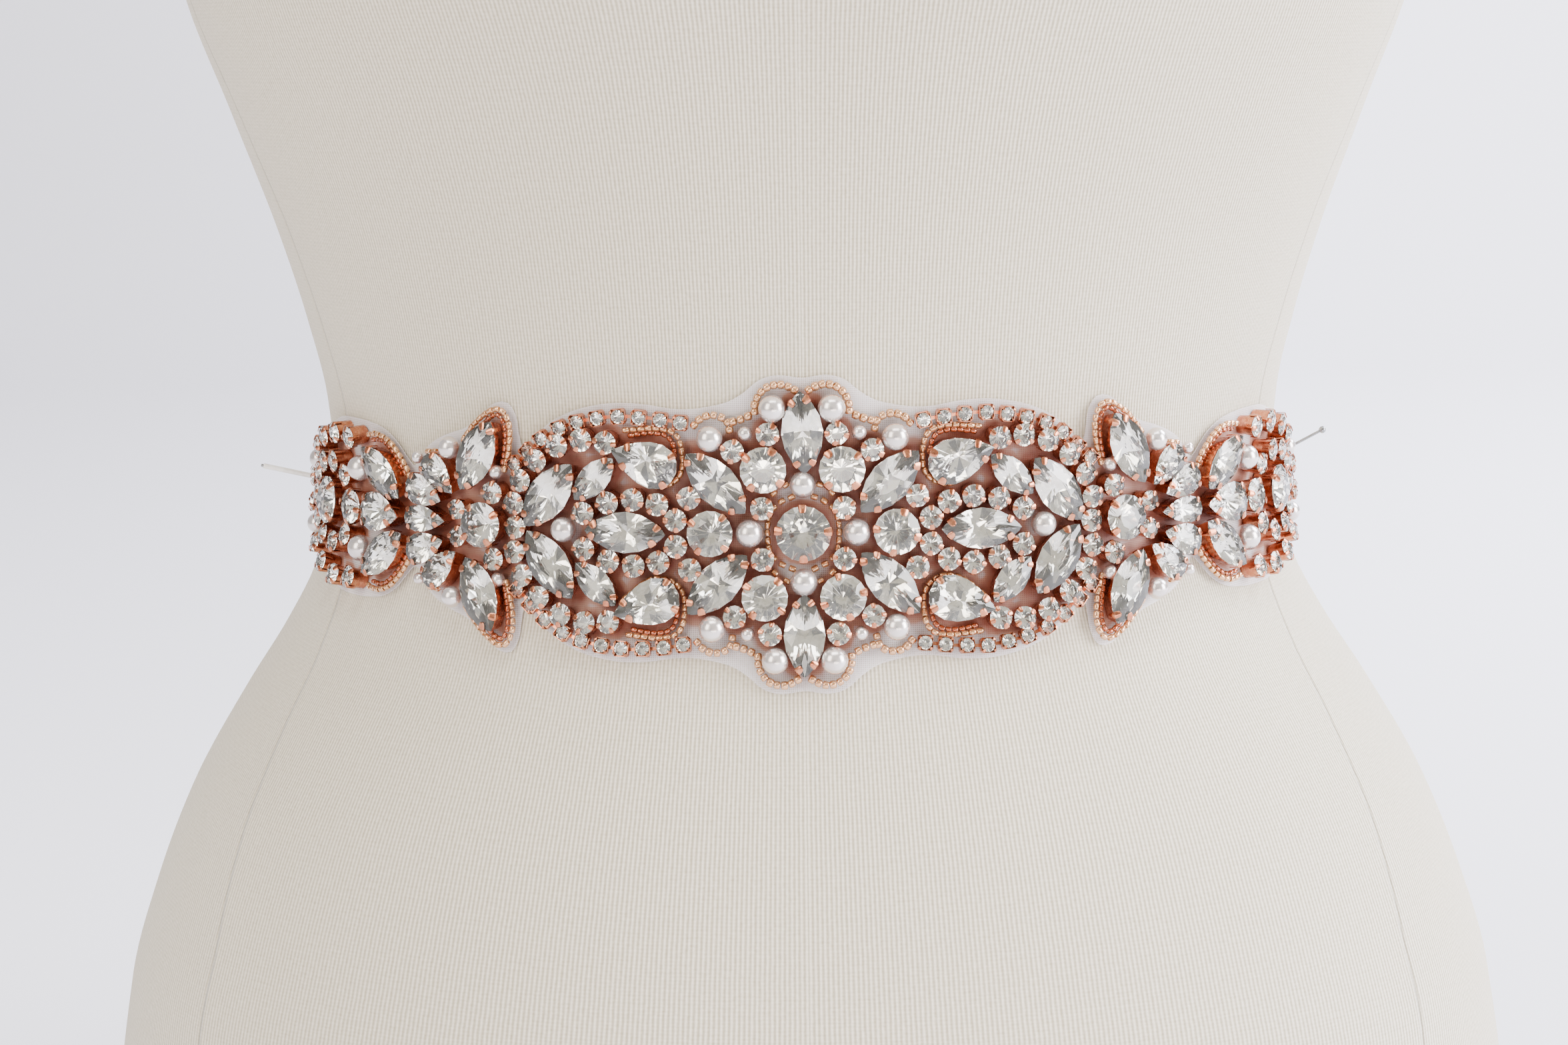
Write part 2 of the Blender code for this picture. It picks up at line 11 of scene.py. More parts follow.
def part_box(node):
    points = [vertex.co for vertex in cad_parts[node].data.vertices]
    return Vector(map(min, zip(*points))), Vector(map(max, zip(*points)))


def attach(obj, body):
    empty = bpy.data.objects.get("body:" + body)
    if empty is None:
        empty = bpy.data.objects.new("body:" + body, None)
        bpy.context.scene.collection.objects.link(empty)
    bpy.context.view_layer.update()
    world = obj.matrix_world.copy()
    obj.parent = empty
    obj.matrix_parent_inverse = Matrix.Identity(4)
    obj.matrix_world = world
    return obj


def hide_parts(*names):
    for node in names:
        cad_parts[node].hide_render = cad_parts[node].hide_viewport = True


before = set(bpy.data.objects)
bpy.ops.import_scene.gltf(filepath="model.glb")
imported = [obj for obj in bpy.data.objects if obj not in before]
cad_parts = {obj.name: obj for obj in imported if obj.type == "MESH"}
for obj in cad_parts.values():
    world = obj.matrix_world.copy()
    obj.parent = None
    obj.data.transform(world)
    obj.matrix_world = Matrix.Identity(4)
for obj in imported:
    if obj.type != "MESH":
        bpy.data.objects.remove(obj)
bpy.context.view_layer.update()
mm = 0.001
chance = random.Random(12)

# The sash is laid out in mm: u along the waist from the centre front, v up, w outwards.

# The form's surface
form = {
    # height from the sash's centre line, half width, front, back, squareness
    "sections": (
        (-232, 158, 104, 112, 2.2), (-224, 168, 112, 120, 2.2), (-170, 174, 116, 126, 2.2),
        (-120, 168, 114, 122, 2.2), (-97, 161, 110, 116, 2.2), (-73, 151, 104, 108, 2.2),
        (-50, 137.5, 97, 99, 2.15), (-34, 127, 92, 92, 2.1), (-20, 119.5, 88, 86, 2.1),
        (-5, 114.8, 85, 82, 2.1), (8, 113.8, 84, 81, 2.1), (21, 114.7, 84, 82, 2.1),
        (40, 118.7, 85.5, 84, 2.1), (60, 124.4, 88, 87, 2.1), (89, 134.3, 93, 92, 2.15),
        (118, 144, 98, 97, 2.2), (150, 149, 102, 101, 2.2), (190, 149, 102, 105, 2.2),
        (225, 148, 96, 106, 2.25), (260, 151, 86, 102, 2.3), (295, 157, 74, 93, 2.3),
        (322, 160, 62, 80, 2.25), (337, 148, 56, 71, 2.15), (350, 116, 52, 64, 2.1),
        (364, 78, 49, 58, 2.0), (380, 59, 47, 54, 2.0), (400, 53, 46, 51, 2.0),
        (426, 51, 45, 49, 2.0),
    ),
    "bust": {"height": 172, "angle": 0.44, "rise": 24, "tall": 34, "wide": 0.34},
    "columns": 280,
    "columnSpread": 1.36,  # the form's width over its depth, which evens out the columns
    "girth": 632.0,  # mm round the waist, so the wales keep their count at every height
    "ringStep": 3.2,
    "widestBack": 126,  # mm, the back depth of the hip section
    # height and angle from the front of the side seams, in degrees
    "seams": ((-232, 62), (-100, 64), (-64, 66), (0, 71), (108, 77), (300, 84), (426, 88)),
}
sections = np.array(form["sections"], float)
formFoot = sections[0, 0]
formTop = sections[-1, 0]


def smoothSlopes(xs, ys):
    # slopes of a curve that never overshoots its points
    steps = np.diff(xs)
    rates = np.diff(ys) / steps
    slopes = np.zeros(len(xs))
    slopes[0] = rates[0]
    slopes[-1] = rates[-1]
    for i in range(1, len(rates)):
        if rates[i - 1] * rates[i] > 0:
            near = 2 * steps[i] + steps[i - 1]
            far = steps[i] + 2 * steps[i - 1]
            slopes[i] = (near + far) / (near / rates[i - 1] + far / rates[i])
    return slopes


def smoothRead(xs, ys, slopes, x):
    i = np.clip(np.searchsorted(xs, x) - 1, 0, len(xs) - 2)
    step = xs[i + 1] - xs[i]
    t = (x - xs[i]) / step
    rise = t * t * (3 - 2 * t)
    bend = step * t * (1 - t) * ((1 - t) * slopes[i] - t * slopes[i + 1])
    return ys[i] * (1 - rise) + ys[i + 1] * rise + bend


sectionSlopes = [smoothSlopes(sections[:, 0], sections[:, k]) for k in range(5)]


def formPoints(height, angle):
    height, angle = np.broadcast_arrays(np.asarray(height, float), np.asarray(angle, float))
    reads = [smoothRead(sections[:, 0], sections[:, k], sectionSlopes[k], height) for k in range(1, 5)]
    halfWidth, front, back, squareness = reads
    side = np.sin(angle)
    ahead = np.cos(angle)
    depth = np.where(ahead >= 0, front, back)
    reach = np.abs(side / halfWidth) ** squareness + np.abs(ahead / depth) ** squareness
    bust = form["bust"]
    swell = np.exp(-0.5 * ((angle - bust["angle"]) / bust["wide"]) ** 2)
    swell = swell + np.exp(-0.5 * ((angle + bust["angle"]) / bust["wide"]) ** 2)
    swell = swell * bust["rise"] * np.exp(-0.5 * ((height - bust["height"]) / bust["tall"]) ** 2)
    radius = reach ** (-1 / squareness) + swell
    return np.stack([radius * side, -radius * ahead, height], axis=-1)


# The sash's centre line stands where the CAD form puts it
torsoLow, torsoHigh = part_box("form_torso")
sashHeight = torsoLow.z - formFoot * mm
depthShift = torsoHigh.y - form["widestBack"] * mm
toWorld = Matrix.Translation((0, depthShift, sashHeight)) @ Matrix.Scale(mm, 4)

# Length along the waist at each whole height, for turning u into an angle
waistAngles = np.radians(np.arange(0, 140.5, 0.5))
waistHeights = np.arange(-46, 47)
waistPoints = formPoints(waistHeights[:, None], waistAngles[None, :])
waistSteps = np.linalg.norm(np.diff(waistPoints, axis=1), axis=2)
waistLengths = np.concatenate([np.zeros((len(waistHeights), 1)), np.cumsum(waistSteps, axis=1)], axis=1)


def waistAngle(u, v):
    below = int(math.floor(v))
    share = v - below
    row = below - int(waistHeights[0])
    low = np.interp(abs(u), waistLengths[row], waistAngles)
    high = np.interp(abs(u), waistLengths[row + 1], waistAngles)
    return math.copysign(low * (1 - share) + high * share, u)


def bandFrame(u, v, w=0.0):
    # place on the band: first axis along the waist, second up, third outwards
    angle = waistAngle(u, v)
    spots = formPoints([v, v, v, v + 0.2, v - 0.2], [angle, angle + 0.002, angle - 0.002, angle, angle])
    point, ahead, behind, above, below = [Vector(spot) for spot in spots]
    along = (ahead - behind).normalized()
    normal = along.cross(above - below).normalized()
    place = Matrix((along, normal.cross(along), normal)).transposed().to_4x4()
    place.translation = point + normal * w
    return place


def bandPoint(u, v, w=0.0):
    return bandFrame(u, v, w).translation


# Small helpers
def hexColour(text):
    channels = [int(text[i:i + 2], 16) / 255 for i in (1, 3, 5)]
    linear = [c / 12.92 if c <= 0.04045 else ((c + 0.055) / 1.055) ** 2.4 for c in channels]
    return (*linear, 1.0)


def addNode(tree, kind, values=None, links=None, stops=(), **options):
    # stops are a ramp's colours with their places
    node = tree.nodes.new(kind)
    for name, value in options.items():
        setattr(node, name, value)
    for name, value in (values or {}).items():
        node.inputs[name].default_value = value
    for name, source in (links or {}).items():
        tree.links.new(source, node.inputs[name])
    for i, (position, colour) in enumerate(stops):
        elements = node.color_ramp.elements
        element = elements[i] if i < 2 else elements.new(position)
        element.position = position
        element.color = colour
    return node


def newMaterial(name):
    material = bpy.data.materials.new(name)
    material.use_nodes = True
    material.node_tree.nodes.clear()
    return material, material.node_tree


def finishMaterial(tree, shader):
    addNode(tree, "ShaderNodeOutputMaterial", links={"Surface": shader.outputs[0]})


def grey(value):
    return (value, value, value, 1.0)


def addObject(name, data):
    made = bpy.data.objects.new(name, data)
    bpy.context.scene.collection.objects.link(made)
    return made


def keepMesh(name, mesh, materials, smoothAngle=None):
    # clearing the list also clears each face's choice, so that is put back
    chosen = np.zeros(len(mesh.polygons), np.int32)
    mesh.polygons.foreach_get("material_index", chosen)
    mesh.materials.clear()
    for material in materials:
        mesh.materials.append(material)
    mesh.polygons.foreach_set("material_index", chosen)
    if smoothAngle is not None:
        mesh.shade_smooth()
        mesh.set_sharp_from_angle(angle=math.radians(smoothAngle))
    return addObject(name, mesh)


def meshFrom(name, points, faces):
    mesh = bpy.data.meshes.new(name)
    mesh.from_pydata([tuple(point) for point in points], [], faces)
    mesh.validate()
    return mesh


def ringFaces(rows, count):
    # the faces between neighbouring rings of points
    faces = []
    for r in range(rows - 1):
        for i in range(count):
            j = (i + 1) % count
            faces.append((r * count + i, r * count + j, (r + 1) * count + j, (r + 1) * count + i))
    return faces


def closedRings(rings):
    # points and faces of a closed shape that runs through rings of points
    count = len(rings[0])
    last = (len(rings) - 1) * count
    faces = ringFaces(len(rings), count)
    faces += [tuple(reversed(range(count))), tuple(range(last, last + count))]
    return [tuple(point) for ring in rings for point in ring], faces


def faceOutwards(mesh):
    turned = bmesh.new()
    turned.from_mesh(mesh)
    bmesh.ops.recalc_face_normals(turned, faces=turned.faces)
    turned.to_mesh(mesh)
    turned.free()


def throughPoints(points, step, closed=False):
    # a smooth line through places on the band
    line = []
    count = len(points)
    for i in range(count if closed else count - 1):
        places = [(i + k) % count if closed else min(max(i + k, 0), count - 1) for k in (-1, 0, 1, 2)]
        before, here, after, beyond = [Vector(points[k]) for k in places]
        steps = max(1, round((after - here).length / step))
        for k in range(steps):
            t = k / steps
            curve = 2 * here + (after - before) * t
            curve += (2 * before - 5 * here + 4 * after - beyond) * t * t
            curve += (3 * here - before - 3 * after + beyond) * t * t * t
            line.append(tuple(curve * 0.5))
    return line if closed else line + [points[-1]]


# Materials
onePerUnit = math.pi / 10  # wave scale that gives one band for each unit


def jerseyKnit():
    # rib jersey, unbleached cotton: matt, with fine wales that catch a thin edge of light
    walePitch = 0.72  # mm; the real wales stand 0.5 mm apart, drawn wider so that they show
    coursePitch = 0.8  # mm between rows of stitches
    seamReach = 50.0  # mm from the seam that its profile is laid out over
    material, tree = newMaterial("jerseyKnit")
    uv = addNode(tree, "ShaderNodeUVMap", uv_map="knit")
    spread = addNode(
        tree, "ShaderNodeMapping", {"Scale": (1 / walePitch, 1 / coursePitch, 1)}, {"Vector": uv.outputs[0]}
    )
    wander = addNode(tree, "ShaderNodeTexNoise", {"Scale": 0.22, "Detail": 2.0}, {"Vector": uv.outputs[0]})
    drift = addNode(
        tree, "ShaderNodeVectorMath", {1: (0.22, 0.22, 0)}, {0: wander.outputs["Color"]},
        operation="MULTIPLY",
    )
    moved = addNode(
        tree, "ShaderNodeVectorMath", links={0: spread.outputs[0], 1: drift.outputs[0]}, operation="ADD"
    )
    wales = addNode(
        tree, "ShaderNodeTexWave", {"Scale": onePerUnit, "Distortion": 0.0},
        {"Vector": moved.outputs[0]}, wave_type="BANDS", bands_direction="X", wave_profile="SIN",
    )
    courses = addNode(
        tree, "ShaderNodeTexWave", {"Scale": onePerUnit, "Distortion": 1.5, "Detail": 1.0},
        {"Vector": moved.outputs[0]}, wave_type="BANDS", bands_direction="Y", wave_profile="SIN",
    )
    fuzz = addNode(tree, "ShaderNodeTexNoise", {"Scale": 1.1, "Detail": 4.0}, {"Vector": uv.outputs[0]})
    knit = None
    for source, share in ((wales, 0.48), (courses, 0.08), (fuzz, 0.44)):
        part = addNode(
            tree, "ShaderNodeMath", {1: share}, {0: source.outputs["Fac"]}, operation="MULTIPLY"
        )
        if knit:
            both = {0: knit.outputs[0], 1: part.outputs[0]}
            part = addNode(tree, "ShaderNodeMath", links=both, operation="ADD")
        knit = part
    tone = addNode(
        tree, "ShaderNodeValToRGB", links={"Fac": knit.outputs[0]},
        stops=((0.15, hexColour("#A99D84")), (0.82, hexColour("#E2D8C5"))),
    )
    # the side seams: a sunk line with the panels' edges raised beside it
    seam = addNode(tree, "ShaderNodeAttribute", attribute_name="seam")
    away = addNode(tree, "ShaderNodeMath", links={0: seam.outputs["Fac"]}, operation="ABSOLUTE")
    away = addNode(tree, "ShaderNodeMath", {1: seamReach}, {0: away.outputs[0]}, operation="DIVIDE")
    line = addNode(
        tree, "ShaderNodeValToRGB", links={"Fac": away.outputs[0]},
        stops=(
            (0.0, grey(0.0)), (0.7 / seamReach, grey(1.0)), (3 / seamReach, grey(0.8)),
            (8 / seamReach, grey(0.6)),
        ),
    )
    shade = addNode(
        tree, "ShaderNodeMapRange", {"To Min": 0.8, "To Max": 1.0, "From Max": 0.6},
        {"Value": line.outputs[0]},
    )
    seen = addNode(
        tree, "ShaderNodeVectorMath", links={0: tone.outputs[0], "Scale": shade.outputs[0]},
        operation="SCALE",
    )
    height = addNode(
        tree, "ShaderNodeMath", {1: 3.0}, {0: line.outputs[0], 2: knit.outputs[0]}, operation="MULTIPLY_ADD"
    )
    bump = addNode(
        tree, "ShaderNodeBump", {"Strength": 0.65, "Distance": 0.0004}, {"Height": height.outputs[0]}
    )
    shader = addNode(
        tree, "ShaderNodeBsdfPrincipled",
        {"Roughness": 0.95, "Specular IOR Level": 0.1, "Sheen Weight": 0.3, "Sheen Roughness": 0.6},
        {"Base Color": seen.outputs[0], "Normal": bump.outputs[0]},
    )
    finishMaterial(tree, shader)
    return material


def silkOrganza():
    # silk organza: sheer plain weave, each thread bright and the gaps between them open
    threadPitch = 0.42  # mm; the real threads stand 0.25 mm apart, drawn wider so that they show
    material, tree = newMaterial("silkOrganza")
    uv = addNode(tree, "ShaderNodeUVMap", uv_map="cut")
    spread = addNode(
        tree, "ShaderNodeMapping", {"Scale": (1 / threadPitch, 1 / threadPitch, 1)},
        {"Vector": uv.outputs[0]},
    )
    threads = []
    for direction in "XY":
        threads.append(addNode(
            tree, "ShaderNodeTexWave", {"Scale": onePerUnit, "Distortion": 0.3},
            {"Vector": spread.outputs[0]}, wave_type="BANDS", bands_direction=direction, wave_profile="SIN",
        ))
    weave = addNode(
        tree, "ShaderNodeMath", links={0: threads[0].outputs["Fac"], 1: threads[1].outputs["Fac"]},
        operation="MAXIMUM",
    )
    # painted shade and painted copper reflection beside the stones: where this attribute nears 1 the cloth
    # turns rust brown
    near = addNode(tree, "ShaderNodeAttribute", attribute_name="paintedCopperShade")
    tone = addNode(
        tree, "ShaderNodeValToRGB", links={"Fac": near.outputs["Fac"]},
        stops=((0.0, hexColour("#F0EAEC")), (0.5, hexColour("#B08270")), (1.0, hexColour("#7E4431"))),
    )
    cover = addNode(
        tree, "ShaderNodeMapRange", {"From Min": 0.3, "From Max": 1.0, "To Min": 0.25, "To Max": 0.6},
        {"Value": weave.outputs[0]},
    )
    # the painted shade also makes the cloth more opaque beside the stones
    cover = addNode(
        tree, "ShaderNodeMath", {1: 0.75}, {0: near.outputs["Fac"], 2: cover.outputs[0]},
        operation="MULTIPLY_ADD", use_clamp=True,
    )
    bump = addNode(
        tree, "ShaderNodeBump", {"Strength": 0.4, "Distance": 0.0001}, {"Height": weave.outputs[0]}
    )
    shader = addNode(
        tree, "ShaderNodeBsdfPrincipled", {"Roughness": 0.42, "Sheen Weight": 0.2, "Sheen Roughness": 0.3},
        {"Base Color": tone.outputs[0], "Alpha": cover.outputs[0], "Normal": bump.outputs[0]},
    )
    finishMaterial(tree, shader)
    return material


def cloudTones(tree, cloudSize, detail, low, high):
    # soft clouds of a size in mm between two colours, each with its place on the ramp
    coords = addNode(tree, "ShaderNodeTexCoord")
    cloud = addNode(
        tree, "ShaderNodeTexNoise", {"Scale": 1 / (cloudSize * mm), "Detail": detail},
        {"Vector": coords.outputs["Object"]},
    )
    tone = addNode(tree, "ShaderNodeValToRGB", links={"Fac": cloud.outputs["Fac"]}, stops=(low, high))
    return cloud, tone


def cutCrystal():
    # lead-free crystal glass, machine cut and polished: clear, with sharp bright facets
    material, tree = newMaterial("cutCrystal")
    shader = addNode(
        tree, "ShaderNodeBsdfPrincipled",
        {"Base Color": hexColour("#FDFDFB"), "Roughness": 0.0, "IOR": 1.56, "Transmission Weight": 1.0},
    )
    finishMaterial(tree, shader)
    return material


def silverFoil():
    # silver foil fired on the back of each stone: a mirror, a little warm
    material, tree = newMaterial("silverFoil")
    tone = cloudTones(tree, 1.67, 2.0, (0.35, hexColour("#EEEBE4")), (0.65, hexColour("#FBFAF7")))[1]
    shader = addNode(
        tree, "ShaderNodeBsdfPrincipled", {"Roughness": 0.05, "Metallic": 0.93},
        {"Base Color": tone.outputs[0]},
    )
    finishMaterial(tree, shader)
    return material


def roseGoldPlate():
    # brass stamped and plated rose gold: bright copper pink, softly uneven from the press
    material, tree = newMaterial("roseGoldPlate")
    cloud, tone = cloudTones(tree, 1.11, 3.0, (0.3, hexColour("#AC664A")), (0.7, hexColour("#CF8E6C")))
    gloss = addNode(
        tree, "ShaderNodeMapRange", {"To Min": 0.16, "To Max": 0.36}, {"Value": cloud.outputs["Fac"]}
    )
    bump = addNode(
        tree, "ShaderNodeBump", {"Strength": 0.25, "Distance": 0.0001}, {"Height": cloud.outputs["Fac"]}
    )
    shader = addNode(
        tree, "ShaderNodeBsdfPrincipled", {"Metallic": 1.0},
        {"Base Color": tone.outputs[0], "Roughness": gloss.outputs[0], "Normal": bump.outputs[0]},
    )
    finishMaterial(tree, shader)
    return material


def glassPearl():
    # glass bead dipped in pearl lacquer: creamy white with a soft deep highlight
    material, tree = newMaterial("glassPearl")
    tone = cloudTones(tree, 2.86, 2.0, (0.3, hexColour("#D2C6C1")), (0.7, hexColour("#E4DCD8")))[1]
    shader = addNode(
        tree, "ShaderNodeBsdfPrincipled",
        {
            "Metallic": 0.75, "Roughness": 0.26, "IOR": 1.6, "Coat Weight": 1.0, "Coat IOR": 1.6,
            "Coat Roughness": 0.05,
        },
        {"Base Color": tone.outputs[0]},
    )
    finishMaterial(tree, shader)
    return material


def beadGlass(name, colour):
    # glass seed beads, pressed and tumbled: clear edges round a metal lining
    material, tree = newMaterial(name)
    shader = addNode(
        tree, "ShaderNodeBsdfPrincipled",
        {
            "Base Color": hexColour(colour), "Metallic": 0.6, "Roughness": 0.16, "IOR": 1.5,
            "Transmission Weight": 0.3, "Coat Weight": 1.0, "Coat Roughness": 0.03,
        },
    )
    finishMaterial(tree, shader)
    return material


def beadLining():
    # gold lining of the bead's hole
    material, tree = newMaterial("beadLining")
    tone = cloudTones(tree, 0.67, 2.0, (0.3, hexColour("#E8B27E")), (0.7, hexColour("#FBE3BE")))[1]
    shader = addNode(
        tree, "ShaderNodeBsdfPrincipled", {"Metallic": 1.0, "Roughness": 0.22},
        {"Base Color": tone.outputs[0]},
    )
    finishMaterial(tree, shader)
    return material


def drawnSteel():
    # drawn and nickelled steel wire: bright, with fine marks of the die
    linePitch = 0.4  # mm; the real marks are far finer, drawn coarser so that they show
    material, tree = newMaterial("drawnSteel")
    coords = addNode(tree, "ShaderNodeTexCoord")
    lines = addNode(
        tree, "ShaderNodeTexNoise", {"Scale": 1 / (linePitch * mm), "Detail": 2.0},
        {"Vector": coords.outputs["Object"]},
    )
    gloss = addNode(
        tree, "ShaderNodeMapRange", {"To Min": 0.15, "To Max": 0.35}, {"Value": lines.outputs["Fac"]}
    )
    shader = addNode(
        tree, "ShaderNodeBsdfPrincipled", {"Base Color": hexColour("#8F9090"), "Metallic": 1.0},
        {"Roughness": gloss.outputs[0]},
    )
    finishMaterial(tree, shader)
    return material


def whiteLacquer():
    # white lacquer baked on wire: smooth and bright, thinner in small patches
    material, tree = newMaterial("whiteLacquer")
    tone = cloudTones(tree, 2.0, 2.0, (0.3, hexColour("#E6E1DB")), (0.6, hexColour("#F3F0EC")))[1]
    shader = addNode(
        tree, "ShaderNodeBsdfPrincipled", {"Roughness": 0.25, "Coat Weight": 0.6, "Coat Roughness": 0.06},
        {"Base Color": tone.outputs[0]},
    )
    finishMaterial(tree, shader)
    return material


def oiledBeech():
    # steamed beech, sanded and oiled: straight pinkish grain with short dark flecks
    grainPitch = 3.0  # mm between grain lines
    material, tree = newMaterial("oiledBeech")
    coords = addNode(tree, "ShaderNodeTexCoord")
    stretch = addNode(
        tree, "ShaderNodeMapping", {"Scale": (40, 1 / (grainPitch * mm), 1 / (grainPitch * mm))},
        {"Vector": coords.outputs["Object"]},
    )
    grain = addNode(
        tree, "ShaderNodeTexNoise", {"Scale": 1.0, "Detail": 5.0}, {"Vector": stretch.outputs[0]}
    )
    flecks = addNode(
        tree, "ShaderNodeTexNoise", {"Scale": 5.0, "Detail": 1.0}, {"Vector": stretch.outputs[0]}
    )
    both = addNode(
        tree, "ShaderNodeMath", links={0: grain.outputs["Fac"], 1: flecks.outputs["Fac"]},
        operation="MULTIPLY",
    )
    tone = addNode(
        tree, "ShaderNodeValToRGB", links={"Fac": both.outputs[0]},
        stops=((0.15, hexColour("#B98F66")), (0.4, hexColour("#DDB98F"))),
    )
    bump = addNode(
        tree, "ShaderNodeBump", {"Strength": 0.15, "Distance": 0.0002}, {"Height": both.outputs[0]}
    )
    shader = addNode(
        tree, "ShaderNodeBsdfPrincipled", {"Roughness": 0.45, "Coat Weight": 0.2, "Coat Roughness": 0.3},
        {"Base Color": tone.outputs[0], "Normal": bump.outputs[0]},
    )
    finishMaterial(tree, shader)
    return material


def paleBackdrop():
    # wide roll of studio paper: matt, a little blue
    material, tree = newMaterial("paleBackdrop")
    shader = addNode(
        tree, "ShaderNodeBsdfPrincipled", {"Base Color": hexColour("#EEECF2"), "Roughness": 0.9}
    )
    finishMaterial(tree, shader)
    return material


finishes = {
    "jersey": jerseyKnit(), "organza": silkOrganza(), "crystal": cutCrystal(), "foil": silverFoil(),
    "roseGold": roseGoldPlate(), "pearl": glassPearl(), "beadLining": beadLining(),
    "beadGlass": beadGlass("peachBeadGlass", "#DAA576"),
    "copperGlass": beadGlass("copperBeadGlass", "#AE5B36"),
    "steel": drawnSteel(), "lacquer": whiteLacquer(), "beech": oiledBeech(), "backdrop": paleBackdrop(),
}
print("materials made")


# Node trees that repeat pieces
def newPort(tree, name, kind, inOut="INPUT", value=None):
    port = tree.interface.new_socket(name=name, in_out=inOut, socket_type=kind)
    if value is not None:
        port.default_value = value
    return port


def endTree(tree, instances, start):
    # real geometry, the main finish, then the second finish on the faces marked for it
    real = addNode(tree, "GeometryNodeRealizeInstances", links={"Geometry": instances})
    main = addNode(
        tree, "GeometryNodeSetMaterial",
        links={"Geometry": real.outputs[0], "Material": start.outputs["Finish"]},
    )
    marked = addNode(tree, "GeometryNodeInputNamedAttribute", {"Name": "second"}, data_type="BOOLEAN")
    second = addNode(
        tree, "GeometryNodeSetMaterial",
        links={
            "Geometry": main.outputs[0], "Selection": marked.outputs["Attribute"],
            "Material": start.outputs["Second finish"],
        },
    )
    addNode(tree, "NodeGroupOutput", links={"Geometry": second.outputs[0]})


def placeTree():
    # puts a shape on every point, turned and sized by the point's own attributes
    tree = bpy.data.node_groups.new("placeOnPoints", "GeometryNodeTree")
    newPort(tree, "Geometry", "NodeSocketGeometry")
    newPort(tree, "Shape", "NodeSocketObject")
    newPort(tree, "Finish", "NodeSocketMaterial")
    newPort(tree, "Second finish", "NodeSocketMaterial")
    newPort(tree, "Geometry", "NodeSocketGeometry", "OUTPUT")
    start = addNode(tree, "NodeGroupInput")
    shape = addNode(tree, "GeometryNodeObjectInfo", links={"Object": start.outputs["Shape"]})
    turn = addNode(tree, "GeometryNodeInputNamedAttribute", {"Name": "turn"}, data_type="FLOAT_VECTOR")
    size = addNode(tree, "GeometryNodeInputNamedAttribute", {"Name": "size"}, data_type="FLOAT_VECTOR")
    rotation = addNode(tree, "FunctionNodeEulerToRotation", links={"Euler": turn.outputs["Attribute"]})
    instances = addNode(
        tree, "GeometryNodeInstanceOnPoints",
        links={
            "Points": start.outputs["Geometry"], "Instance": shape.outputs["Geometry"],
            "Rotation": rotation.outputs[0], "Scale": size.outputs["Attribute"],
        },
    )
    endTree(tree, instances.outputs[0], start)
    return tree


def stringTree():
    # threads beads along a curve, each a little turned and sized by a fixed seed
    tree = bpy.data.node_groups.new("stringBeads", "GeometryNodeTree")
    newPort(tree, "Geometry", "NodeSocketGeometry")
    newPort(tree, "Shape", "NodeSocketObject")
    newPort(tree, "Pitch", "NodeSocketFloat", value=0.0018)
    newPort(tree, "Diameter", "NodeSocketFloat", value=0.0019)
    newPort(tree, "Stretch", "NodeSocketFloat", value=1.0)
    newPort(tree, "Seed", "NodeSocketInt", value=3)
    newPort(tree, "Finish", "NodeSocketMaterial")
    newPort(tree, "Second finish", "NodeSocketMaterial")
    newPort(tree, "Geometry", "NodeSocketGeometry", "OUTPUT")
    start = addNode(tree, "NodeGroupInput")
    shape = addNode(tree, "GeometryNodeObjectInfo", links={"Object": start.outputs["Shape"]})
    spots = addNode(
        tree, "GeometryNodeCurveToPoints",
        links={"Curve": start.outputs["Geometry"], "Length": start.outputs["Pitch"]}, mode="LENGTH",
    )
    wobble = addNode(
        tree, "FunctionNodeRandomValue", links={"Seed": start.outputs["Seed"]}, data_type="FLOAT_VECTOR"
    )
    wobble.inputs[0].default_value = (-0.16, -0.16, -3.1)
    wobble.inputs[1].default_value = (0.16, 0.16, 3.1)
    lean = addNode(tree, "FunctionNodeEulerToRotation", links={"Euler": wobble.outputs[0]})
    turned = addNode(
        tree, "FunctionNodeRotateRotation",
        links={"Rotation": spots.outputs["Rotation"], "Rotate By": lean.outputs[0]}, rotation_space="LOCAL",
    )
    swell = addNode(
        tree, "FunctionNodeRandomValue", links={"Seed": start.outputs["Seed"]}, data_type="FLOAT"
    )
    swell.inputs[2].default_value = 0.92
    swell.inputs[3].default_value = 1.06
    girth = addNode(
        tree, "ShaderNodeMath", links={0: swell.outputs[1], 1: start.outputs["Diameter"]},
        operation="MULTIPLY",
    )
    length = addNode(
        tree, "ShaderNodeMath", links={0: girth.outputs[0], 1: start.outputs["Stretch"]},
        operation="MULTIPLY",
    )
    size = addNode(
        tree, "ShaderNodeCombineXYZ",
        links={"X": girth.outputs[0], "Y": girth.outputs[0], "Z": length.outputs[0]},
    )
    instances = addNode(
        tree, "GeometryNodeInstanceOnPoints",
        links={
            "Points": spots.outputs["Points"], "Instance": shape.outputs["Geometry"],
            "Rotation": turned.outputs[0], "Scale": size.outputs[0],
        },
    )
    endTree(tree, instances.outputs[0], start)
    return tree


trees = {"place": placeTree(), "string": stringTree()}


def growMesh(name, carrier, tree, inputs):
    # runs a tree on its carrier and keeps the result as a plain mesh
    modifier = carrier.modifiers.new(name, "NODES")
    modifier.node_group = tree
    for item in tree.interface.items_tree:
        if item.in_out == "INPUT" and item.name in inputs:
            modifier[item.identifier] = inputs[item.name]
    bpy.context.view_layer.update()
    seen = bpy.context.evaluated_depsgraph_get()
    mesh = bpy.data.meshes.new_from_object(
        carrier.evaluated_get(seen), preserve_all_data_layers=True, depsgraph=seen
    )
    bpy.data.objects.remove(carrier)
    mesh.name = name
    return mesh


